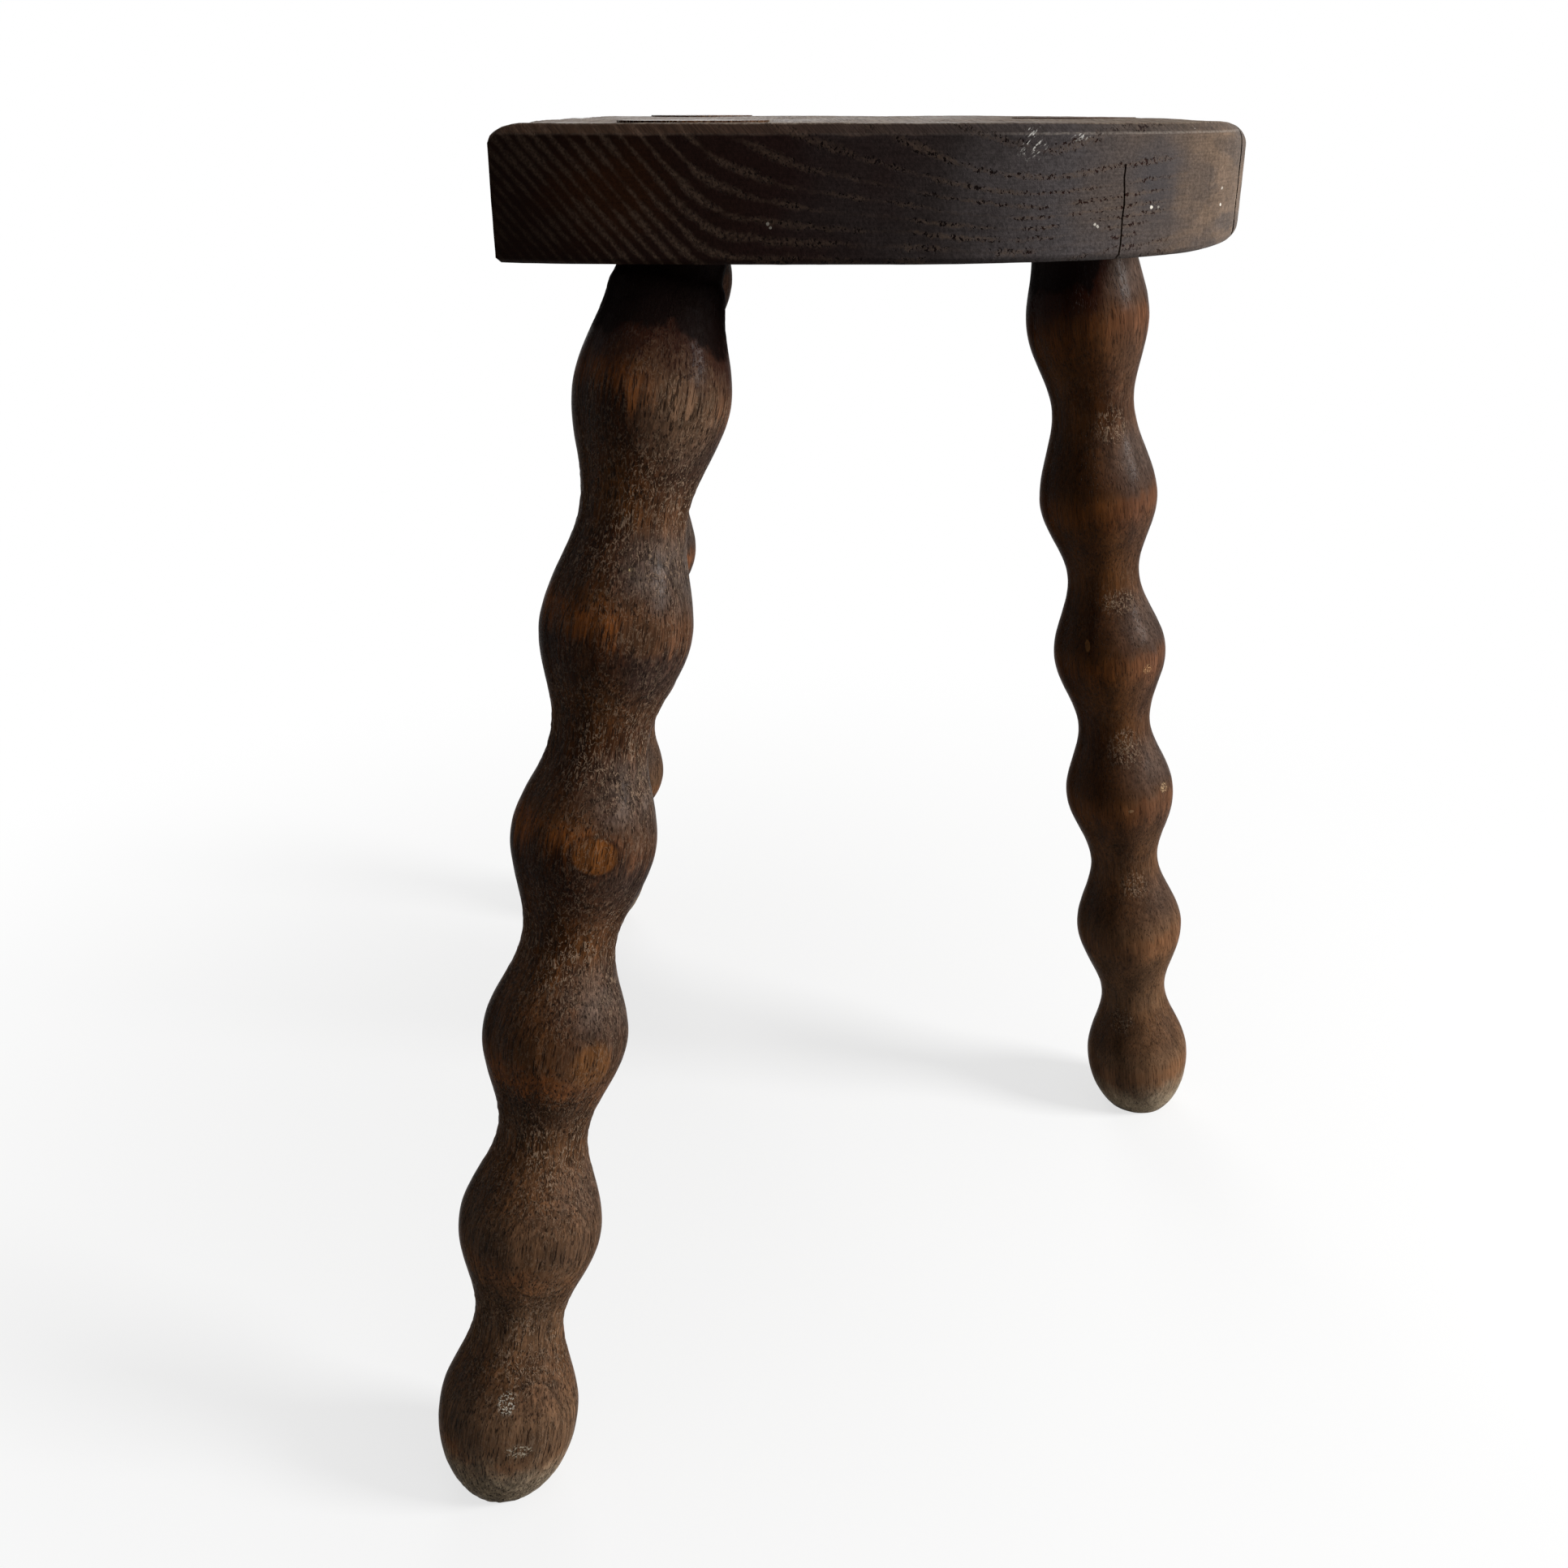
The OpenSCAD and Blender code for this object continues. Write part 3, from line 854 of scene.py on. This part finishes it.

    # Torn grain on the flanks: pale strands that stand up, their paleness partly a painted glint on the
    # ridges, each with a dark gap beside it that is painted shadow
    steep = add(tree, "MapRange", add(tree, "Math", phase, operation="ABSOLUTE"), 0.25, 0.85,
                0.3 * leg.torn, leg.torn, **SOFT)
    torn = add(tree, "Math", steep, add(tree, "MapRange", patches, 0.62, 0.4, 0.35, 1, **SOFT), **TIMES)
    for middle, size in TORN[leg.name]:
        away = away_from(tree, grain, middle, size, patches)
        torn = add(tree, "Math", torn, add(tree, "MapRange", away, 1.1, 0.5, 0, 0.75, **SOFT), **LARGER)
    strand_and_glint = add(tree, "MapRange",
                 add(tree, "Math", add(tree, "Math", curls, 0.5, **MINUS), operation="ABSOLUTE"), 0.03,
                 0.01, **SOFT)
    gap = add(tree, "MapRange",
              add(tree, "Math", add(tree, "Math", beside, 0.5, **MINUS), operation="ABSOLUTE"), 0.035,
              0.012, **SOFT)
    strand_and_glint = add(tree, "Math",
                 add(tree, "Math", strand_and_glint, add(tree, "MapRange", flecks, 0.6, 0.66, **SOFT), **LARGER),
                 torn, **TIMES)
    gap = add(tree, "Math",
              add(tree, "Math", gap, add(tree, "MapRange", flecks, 0.37, 0.31, **SOFT), **LARGER), torn,
              **TIMES)
    # The painted shadows beside the strands, then the strands with their painted glints
    colour = add(tree, "Mix", add(tree, "Math", gap, 0.5, **TIMES), colour, linear(STRAND_SHADOW), **TINT)
    colour = add(tree, "Mix", add(tree, "Math", strand_and_glint, 0.75, **TIMES), colour, linear(TORN_STRAND_AND_GLINT), **TINT)
    # Open pores and fine drying cracks
    slits = add(tree, "MapRange", pores, 0.43, 0.36, **SOFT)
    for middle, size in CHECKED[leg.name]:
        away = away_from(tree, grain, middle, size, broad, fray=0.4)
        split_open = add(tree, "Math", add(tree, "MapRange", checks, 0.4, 0.36, **SOFT),
                         add(tree, "MapRange", away, 1, 0.8, **SOFT), **TIMES)
        slits = add(tree, "Math", slits, split_open, **LARGER)
    colour = add(tree, "Mix", add(tree, "Math", slits, 0.5 + 0.3 * leg.torn, **TIMES), colour,
                 linear(OPEN_PORE), **TINT)

    # Chips of paint and plaster, and last the nearly black stain under the seat, which stops at
    # the tenon's bare end and runs out downwards through dark red
    for middle, size, tint in CHIPS[leg.name]:
        away = away_from(tree, grain, middle, size, crumbs, fray=1.6)
        chip = add(tree, "Math", add(tree, "MapRange", away, 1.2, 0.8, **SOFT),
                   add(tree, "MapRange", crumbs, 0.53, 0.58, **SOFT), **TIMES)
        colour = add(tree, "Mix", chip, colour, linear(tint), **TINT)
    under = add(tree, "Math", split.outputs[1], add(tree, "Math", patches, 26, **TIMES), **PLUS)
    under = add(tree, "Math", under, add(tree, "MapRange", aside, -4, 14, *leg.stain, **SOFT), **PLUS)
    bare_end = add(tree, "MapRange", split.outputs[1], 34, 28, **SOFT)
    red = add(tree, "Math", add(tree, "MapRange", under, -9, 11, 0, 0.85, **SOFT), bare_end, **TIMES)
    colour = add(tree, "Mix", red, colour, linear(TOP_RED), **TINT)
    black = add(tree, "Math", add(tree, "MapRange", under, 10, 15, 0, 0.93, **SOFT), bare_end, **TIMES)
    colour = add(tree, "Mix", black, colour, linear(TOP_BLACK), **TINT)

    # The shine of the wax, and the relief of the pores and the torn grain
    gloss = add(tree, "Math", add(tree, "MapRange", torn, 0, 1, 0.24, 0.34, **SOFT),
                add(tree, "MapRange", fibre, 0.3, 0.7, -0.06, 0.06, **SOFT), **PLUS)
    gloss = add(tree, "Math", gloss, add(tree, "Math", black, 0.3, **TIMES), **PLUS)
    turned_away = add(tree, "LayerWeight", 0.5).outputs["Facing"]
    shine = add(tree, "MapRange", turned_away, 0.22, 0.6, 0.5, 0.03, **SOFT)
    fine = add(tree, "Bump", named={"Height": slits, "Distance": -PORE_DEPTH * MM, "Strength": 1})
    rough = add(tree, "Bump", named={"Height": add(tree, "Math", strand_and_glint, gap, **MINUS),
                                     "Distance": TORN_RISE * MM, "Strength": 1, "Normal": fine})
    shader = add(tree, "BsdfPrincipled", named={"Base Color": colour, "Roughness": gloss, "IOR": WAX_IOR,
                                                "Specular IOR Level": shine, "Normal": rough})
    add(tree, "OutputMaterial", shader)
    return made


# The seat's growth rings, whose pith ran along Y above the plank: across X one
# ring falls steeply, then gently to its lowest place, and rises again
RING_STEEP = -1.11
RING_GENTLE = -0.36
RING_RISE = 0.25
RING_TURN_X = -57
RING_LOW_X = 42
PITH_Z = 500
# How many rings lie in a millimetre at the pith, by how many more each millimetre further out,
# and where in its cycle the first ring starts
RINGS_PER_MM = 0.048
RINGS_GROW = 0.0007
FIRST_RING = 0.23

# Crumbs of white paint on the near edge, and single specks of it, each with how white it is
PAINT = [((38.4, -144.8, 444.2), (9, 16, 8)), ((53.1, -139.8, 445.8), (5, 10, 2.2))]
SPECK_SIZE = (0.95, 3, 1)
SPECKS = [((59.4, -137, 421.4), 0.7), ((60.3, -136.6, 420.8), 0.6), ((78.3, -126.1, 425.7), 1),
          ((107.1, -96.2, 429.8), 0.5), ((107.2, -96.1, 424.8), 0.8), ((92.6, -114.1, 447.9), 0.8),
          ((-38.5, -152.7, 422.6), 0.3), ((-37.6, -152.7, 421.5), 0.3), ((80.9, -124.4, 425.6), 0.3)]

# Where a warm stain and a cloud of soot lie on the seat's edge, each with its size
WARM_PLACE = ((-84, -140, 431), (40, 90, 30))
SOOTY_PLACE = ((80, -125, 434), (20, 60, 26))

# Patterns in the oak: the size of their lumps across the plank, along its grain and up through it
# in millimetres, how far each is shifted, and its noise's detail and roughness where they aren't
# the usual ones. Oak's open pores are about 0.3 mm wide, too fine to show in the render, so they,
# the fibres and the grit are drawn three times as coarse. The scratches and the chalk lie aslant
# on the bevel and the edge.
OAK_PATTERNS = {
    "wander": ((40, 160, 40), 0),
    "jitter": ((2.2, 20, 2.2), 0, 4, 0.7),
    "mottle": ((30, 60, 24), 0, 3),
    "pieces": ((13, 60, 7), 4, 3),
    "pores": ((0.9, 9, 1.1), 0, 2, 0.6),
    "grit": ((0.8, 8, 0.8), 5),
    "crumbs": ((1.1, 1.1, 1.1), 6, 1),
    "smears": ((2.6, 2.6, 24), 2, 3, 0.6),
    "fibre": ((0.9, 60, 0.9), 0, 3, 0.7),
    "planing": ((16, 16, 0.5), 0, 3, 0.6),
    "scratches": ((0.5, 1, 9), 3, 2, 0.6),
    "chalk": ((0.9, 1, 1.4), 9, 3, 0.6),
}

# The oak's colours. Of two, the first is for the left end, or for the worn top's darker fibres.
# The stain across the seat, its grey from the middle to the right partly a painted sheen
OAK_STAIN_AND_SHEEN = [(0, "#190c07"), (0.3, "#201412"), (0.5, "#2a2423"), (0.75, "#454040"), (1, "#56493f")]
WARM_CORNER = "#3a200f"
BARE_BLOTCH = "#725e4d"
SOOTY_CLOUD = "#3a3a3e"
RING_LINES = ("#554439", "#675648")
PORE_ROWS = ("#0d0605", "#25130e")
BEVEL = ("#4a372a", "#242425")
WORN_TOP = ("#4f4035", "#8c7c6c")
# A rubbed rim that is also a painted highlight
RUBBED_RIM_AND_HIGHLIGHT = "#8f857c"
PAINT_CRUMB = "#b9b6b0"
PAINT_SPECK = "#dcd6ca"

# How deep the oak's fibres and its open pores are
FIBRE_DEPTH = 0.2
OPEN_PORE_DEPTH = 0.4


def ring_depth(tree, x, z):
    """How far below the pith, straight up, the ring through a place lies"""
    flatter = add(tree, "MapRange", z, SEAT_UNDER, SEAT_TOP - 8, 0.15, 1.1, **SOFT)
    steep = add(tree, "Math", x, RING_STEEP, -RING_STEEP * RING_TURN_X, **TIMES_PLUS)
    gentle = add(tree, "Math", add(tree, "Math", x, RING_GENTLE, -RING_GENTLE * RING_TURN_X, **TIMES_PLUS),
                 flatter, **TIMES)
    lowest = add(tree, "Math", flatter, RING_GENTLE * (RING_LOW_X - RING_TURN_X), **TIMES)
    rise = add(tree, "Math", add(tree, "Math", x, RING_RISE, -RING_RISE * RING_LOW_X, **TIMES_PLUS), lowest,
               **PLUS)
    shape = add(tree, "Math", steep, gentle, 12, operation="SMOOTH_MAX")
    shape = add(tree, "Math", shape, rise, 8, operation="SMOOTH_MAX")
    return add(tree, "Math", shape, add(tree, "Math", PITH_Z, z, **MINUS), **PLUS)


def dark_oak():
    """Sawn and planed oak, a ring-porous wood, stained nearly black: pale thin rings with rows of
    open pores beside them, seen as arcs on the ends and as long lines on the faces"""
    made, tree = new_finish("dark_stained_oak")
    raw = add(tree, "TexCoord").outputs["Object"]
    place_on = add(tree, "VectorMath", raw, 1 / MM, operation="SCALE")
    split = add(tree, "SeparateXYZ", place_on)
    x = split.outputs[0]
    z = split.outputs[2]
    slant = add(tree, "CombineXYZ", add(tree, "Math", x, z, **PLUS), 0, z)
    other_slant = add(tree, "CombineXYZ", add(tree, "Math", x, z, **MINUS), 0, z)
    slanted = {"scratches": slant, "chalk": other_slant}
    patterns = []
    for pattern, (size, shift, *detail) in OAK_PATTERNS.items():
        scaled = add(tree, "VectorMath", slanted.get(pattern, place_on), [1 / s for s in size],
                     (shift, 1.7 * shift, 0), **TIMES_PLUS)
        patterns.append(add(tree, "TexNoise", scaled, 1, *detail))
    (wander, jitter, mottle, pieces, pores, grit, crumbs, smears, fibre, planing, scratches,
     chalk) = patterns

    # The growth rings, counted out from the pith, and how far a place lies from the nearest line
    loose = add(tree, "MapRange", x, -70, -10, 2.4, 6, **SOFT)
    wobble = add(tree, "Math", add(tree, "Math", wander, 0.5, **MINUS), loose, **TIMES)
    fuzz = add(tree, "Math", add(tree, "Math", jitter, 0.5, **MINUS),
               add(tree, "MapRange", x, -90, 0, 2.2, 6, **SOFT), **TIMES)
    radius = add(tree, "Math", ring_depth(tree, x, z), add(tree, "Math", wobble, fuzz, **PLUS), **PLUS)
    count = add(tree, "Math", radius,
                add(tree, "Math", add(tree, "Math", radius, RINGS_GROW, **TIMES), RINGS_PER_MM, **PLUS),
                **TIMES)
    apart = add(tree, "Math", add(tree, "Math", radius, 2 * RINGS_GROW, **TIMES), RINGS_PER_MM, **PLUS)
    middle = add(tree, "Math",
                 add(tree, "Math", add(tree, "Math", count, FIRST_RING, **PLUS), operation="FRACT"), 0.5,
                 **MINUS)
    off = add(tree, "Math", add(tree, "Math", middle, operation="ABSOLUTE"), apart, operation="DIVIDE")
    shrunk = add(tree, "MapRange", pieces, 0.35, 0.65, 1.5, 0.7, **SOFT)
    line = add(tree, "MapRange", add(tree, "Math", off, shrunk, **TIMES), 1.8, 0.1, **SOFT)
    line = add(tree, "Math", line, add(tree, "MapRange", grit, 0.35, 0.6, 0.35, 1, **SOFT), **TIMES)

    # The stain, from nearly black at the left end to worn grey brown at the round end; its grey from the
    # middle to the right is partly a painted sheen
    across = add(tree, "MapRange", x, -120, 130, **SOFT)
    normal = add(tree, "SeparateXYZ", add(tree, "NewGeometry").outputs["Normal"])
    straight_side = add(tree, "MapRange", normal.outputs[0], -0.7, -0.95, 0, 0.55, **SOFT)
    tone = add(tree, "Math", across,
               add(tree, "Math", add(tree, "Math", mottle, 0.5, **MINUS), 0.4, **TIMES), **PLUS)
    tone = add(tree, "Math", tone, straight_side, **PLUS)
    base = add(tree, "ValToRGB", tone, stops=OAK_STAIN_AND_SHEEN)
    # A warm corner, bare blotches, the marks of the plane, a sooty cloud and smears
    warm = add(tree, "MapRange", away_from(tree, place_on, *WARM_PLACE, pieces), 1.3, 0.3, **SOFT)
    colour = add(tree, "Mix", add(tree, "Math", warm, 0.4, **TIMES), base, linear(WARM_CORNER), **TINT)
    blotch = add(tree, "Math", add(tree, "MapRange", x, 78, 108, **SOFT),
                 add(tree, "MapRange", pieces, 0.42, 0.6, **SOFT), **TIMES)
    colour = add(tree, "Mix", add(tree, "Math", blotch, 0.5, **TIMES), colour, linear(BARE_BLOTCH), **TINT)
    colour = add(tree, "Mix", 1, colour, add(tree, "MapRange", fibre, 0.3, 0.7, 0.74, 1.3, **SOFT), **SHADE)
    colour = add(tree, "Mix", 1, colour, add(tree, "MapRange", planing, 0.35, 0.65, 0.9, 1.1, **SOFT),
                 **SHADE)
    cloud = add(tree, "MapRange", away_from(tree, place_on, *SOOTY_PLACE, pieces, fray=1.2), 1.3, 0.3,
                **SOFT)
    colour = add(tree, "Mix", add(tree, "Math", cloud, 0.5, **TIMES), colour, linear(SOOTY_CLOUD), **TINT)
    smeared = add(tree, "MapRange", smears, 0.35, 0.65, 0.88, 1.13, **SOFT)
    colour = add(tree, "Mix", add(tree, "MapRange", x, 60, 100, **SOFT), colour, smeared, **SHADE)
    corner = add(tree, "MapRange", add(tree, "Math", x, add(tree, "Math", z, 1.2, **TIMES), **PLUS), 378,
                 430, 0.3, 1, **SOFT)
    colour = add(tree, "Mix", 1, colour, add(tree, "MapRange", corner, 0.3, 1, 0.7, 1, **SOFT), **SHADE)
    # The pale ring lines, broken and fainter to the right, and the rows of pores beside them
    faint = add(tree, "Math", add(tree, "MapRange", x, -75, -25, 0.72, 0.42, **SOFT), corner, **TIMES)
    broken = add(tree, "Math", add(tree, "MapRange", add(tree, "Math", pieces,
                                                         add(tree, "MapRange", x, -60, 0, 0, 0.1, **SOFT),
                                                         **MINUS), 0.28, 0.5, 0.2, 1, **SOFT), faint,
                 **TIMES)
    pale = add(tree, "Mix", across, linear(RING_LINES[0]), linear(RING_LINES[1]), **TINT)
    colour = add(tree, "Mix", add(tree, "Math", line, broken, **TIMES), colour, pale, **TINT)
    row = add(tree, "Math", add(tree, "MapRange", off, 2, 0.9, **SOFT),
              add(tree, "MapRange", pieces, 0.42, 0.5, **SOFT), **TIMES)
    dots = add(tree, "Math", add(tree, "MapRange", pores, 0.45, 0.39, **SOFT), row, **TIMES)
    dots = add(tree, "Math", dots, add(tree, "MapRange", x, -80, -30, 0.2, 1, **SOFT), **TIMES)
    dots = add(tree, "Math", dots, add(tree, "MapRange", x, 92, 76, **SOFT), **TIMES)
    colour = add(tree, "Mix", dots, colour, add(tree, "Mix", add(tree, "MapRange", x, 20, 60, **SOFT),
                                                linear(PORE_ROWS[0]), linear(PORE_ROWS[1]), **TINT), **TINT)

    # What faces up: the scratched bevel, the worn top and the rubbed rim between them, whose pale line along
    # the bevel's lower edge is also a painted highlight
    facing = normal.outputs[2]
    edge = add(tree, "Math", add(tree, "MapRange", facing, 0.15, 0.65, **SOFT),
               add(tree, "MapRange", x, -60, 30, 0.5, 0.4, **SOFT), **TIMES)
    colour = add(tree, "Mix", edge, colour,
                 add(tree, "Mix", across, linear(BEVEL[0]), linear(BEVEL[1]), **TINT), **TINT)
    colour = add(tree, "Mix", edge, colour, add(tree, "MapRange", scratches, 0.35, 0.65, 0.5, 1.6, **SOFT),
                 **SHADE)
    worn = add(tree, "Math", add(tree, "MapRange", facing, 0.8, 0.97, **SOFT),
               add(tree, "MapRange", mottle, 0.3, 0.6, 0.45, 0.8, **SOFT), **TIMES)
    colour = add(tree, "Mix", worn, colour, add(tree, "Mix",
                                                add(tree, "MapRange", fibre, 0.35, 0.65, **SOFT),
                                                linear(WORN_TOP[0]), linear(WORN_TOP[1]), **TINT), **TINT)
    # A pale line along the bevel's lower edge, stronger to the right: rubbing and a painted highlight
    from_rim = add(tree, "Math", add(tree, "Math", z, SEAT_TOP - TOP_BEVEL - SEAT_WORN, **MINUS),
                   operation="ABSOLUTE")
    rubbed = add(tree, "MapRange", from_rim, 0.5, 0.15, **SOFT)
    rubbed = add(tree, "Math", rubbed, add(tree, "MapRange", crumbs, 0.35, 0.6, 0.3, 1, **SOFT), **TIMES)
    rubbed = add(tree, "Math", rubbed, add(tree, "MapRange", x, 20, 50, 0.05, 0.4, **SOFT), **TIMES)
    colour = add(tree, "Mix", rubbed, colour, linear(RUBBED_RIM_AND_HIGHLIGHT), **TINT)
    # White paint
    for place_at, size in PAINT:
        away = away_from(tree, place_on, place_at, size, crumbs, fray=1.6)
        crumbled = add(tree, "Math", add(tree, "MapRange", away, 1.3, 0.3, **SOFT),
                       add(tree, "MapRange", chalk, 0.58, 0.64, **SOFT), **TIMES)
        colour = add(tree, "Mix", crumbled, colour, linear(PAINT_CRUMB), **TINT)
    for speck, share in SPECKS:
        away = away_from(tree, place_on, speck, SPECK_SIZE, chalk, fray=2)
        colour = add(tree, "Mix", add(tree, "MapRange", away, 1.1, 0.8, 0, share, **SOFT), colour,
                     linear(PAINT_SPECK), **TINT)
    # The dull shine, and the relief of fibres and pores
    gloss = add(tree, "Math", add(tree, "MapRange", mottle, 0.3, 0.7, 0.48, 0.6, **SOFT),
                add(tree, "Math", worn, 0.2, **TIMES), **PLUS)
    fine = add(tree, "Bump", named={"Height": fibre, "Distance": FIBRE_DEPTH * MM, "Strength": 1})
    deep = add(tree, "Bump",
               named={"Height": dots, "Distance": -OPEN_PORE_DEPTH * MM, "Strength": 1, "Normal": fine})
    shader = add(tree, "BsdfPrincipled",
                 named={"Base Color": colour, "Roughness": gloss, "IOR": WAX_IOR, "Normal": deep})
    add(tree, "OutputMaterial", shader)
    return made


# The wedges' fibres, drawn coarser than real ones: 0.6 mm wide, 18 mm long and so many deep, and
# the colours that they lie between
WEDGE_FIBRE = (1 / 0.6, 1 / 0.6, 1 / 18)
WEDGE_RELIEF = 0.15
WEDGE_DARK = "#3a2a1e"
WEDGE_PALE = "#6e5640"


def wedge_wood():
    """Split oak wedges, cut off flush: dry end grain, a little paler than the tenons"""
    made, tree = new_finish("split_oak_wedge")
    raw = add(tree, "TexCoord").outputs["Object"]
    place_on = add(tree, "VectorMath", raw, 1 / MM, operation="SCALE")
    fibre = add(tree, "TexNoise", add(tree, "VectorMath", place_on, WEDGE_FIBRE, **TIMES), 1, 3, 0.7)
    colour = add(tree, "Mix", add(tree, "MapRange", fibre, 0.35, 0.65, **SOFT), linear(WEDGE_DARK),
                 linear(WEDGE_PALE), **TINT)
    fine = add(tree, "Bump", named={"Height": fibre, "Distance": WEDGE_RELIEF * MM, "Strength": 1})
    shader = add(tree, "BsdfPrincipled", named={"Base Color": colour, "Roughness": 0.7, "Normal": fine})
    add(tree, "OutputMaterial", shader)
    return made


# The card's two whites, how many flecks of them lie in a metre, and the light that it throws
# back on the stool
CARD_FLECKS = 400
CARD_WHITES = ("#f4f4f3", "#f6f6f5")
CARD_BOUNCE = "#8a8783"


def in_view(tree):
    """1 for what the camera sees, straight, mirrored or through glass, and 0 for other light"""
    path = add(tree, "LightPath")
    seen = add(tree, "Math", path.outputs["Is Camera Ray"], path.outputs["Is Glossy Ray"], **LARGER)
    return add(tree, "Math", seen, path.outputs["Is Transmission Ray"], **LARGER)


def pale_floor():
    """Matt white card, which fades to the white of the background away from the stool"""
    made, tree = new_finish("white_card")
    raw = add(tree, "TexCoord").outputs["Object"]
    away = add(tree, "VectorMath", raw, operation="LENGTH")
    fleck = add(tree, "TexNoise", raw, CARD_FLECKS)
    colour = add(tree, "Mix", fleck, linear(CARD_WHITES[0]), linear(CARD_WHITES[1]), **TINT)
    seen = in_view(tree)
    colour = add(tree, "Mix", seen, linear(CARD_BOUNCE), colour, **TINT)
    card = add(tree, "BsdfPrincipled", named={"Base Color": colour, "Roughness": 0.9})
    white = add(tree, "Emission", (1, 1, 1, 1), 1)
    fade = add(tree, "Math", add(tree, "MapRange", away, 0.15, 0.7, 0.7, 1, **SOFT), seen, **TIMES)
    both = add(tree, "MixShader", fade, card, white)
    add(tree, "OutputMaterial", both)
    return made


def dress(piece, finish):
    """Gives a piece its finish"""
    piece.data.materials.clear()
    piece.data.materials.append(finish)


# The room: a pale floor, a soft window light from the right and a camera

# Where the photograph was taken from, worked out from the stool's outlines: the place in metres,
# the tilt up from straight down in degrees, and the lens on its sensor in millimetres
CAMERA_AT = (-0.0337, -0.6304, 0.454)
CAMERA_TILT = 66.42
LENS = 35.68
SENSOR = 36

# The lamps: their places and widths in metres and their power in watts
LAMPS = [
    ("window", (1.6, -0.5, 1.0), 0.55, 42),
    ("ceiling", (0.4, -0.2, 2.2), 1.8, 8),
    ("far_window", (-0.25, 1.8, 0.8), 1.0, 12),
]
# What they are aimed at, and how much even light the room adds
STOOL_MIDDLE = Vector((0, 0, 0.25))
ROOM_LIGHT = 0.08


def camera():
    """The camera where the photograph was taken from"""
    bpy.ops.object.camera_add(location=CAMERA_AT, rotation=(math.radians(CAMERA_TILT), 0, 0))
    made = bpy.context.object
    made.data.lens = LENS
    made.data.sensor_width = SENSOR
    made.data.clip_start = 0.01
    bpy.context.scene.camera = made


def lamp(name, place_at, size, power):
    """A soft square lamp aimed at the middle of the stool"""
    bpy.ops.object.light_add(type="AREA", location=place_at)
    made = bpy.context.object
    made.name = name
    made.data.size = size
    made.data.energy = power
    aim = STOOL_MIDDLE - Vector(place_at)
    made.rotation_euler = aim.to_track_quat("-Z", "Y").to_euler()


def world():
    """White to the camera and in reflections, and an even grey for the light that it gives"""
    made = bpy.data.worlds.new("room")
    made.use_nodes = True
    tree = made.node_tree
    tree.nodes.clear()
    seen = in_view(tree)
    strength = add(tree, "MapRange", seen, 0, 1, ROOM_LIGHT, 1)
    light = add(tree, "Background", (1, 1, 1, 1), strength)
    add(tree, "OutputWorld", light)
    bpy.context.scene.world = made


def floor():
    """The card floor, which is no part of the stool"""
    bpy.ops.object.select_all(action="DESELECT")
    bpy.ops.mesh.primitive_plane_add(size=30)
    made = bpy.context.object
    made.name = "floor"
    made.data.materials.append(pale_floor())


camera()
world()
floor()
for settings in LAMPS:
    lamp(*settings)
bpy.context.scene.view_settings.view_transform = "Standard"

for leg in LEGS:
    piece = turned_leg(leg)
    dress(piece, turned_wood(leg))
    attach(piece, "root")
    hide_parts("leg_" + leg.name)

seat = half_moon_seat()
dress(seat, dark_oak())
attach(seat, "root")
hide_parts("seat")

wedge_finish = wedge_wood()
for leg in LEGS:
    dress(frame["nodes"]["wedge_" + leg.name], wedge_finish)
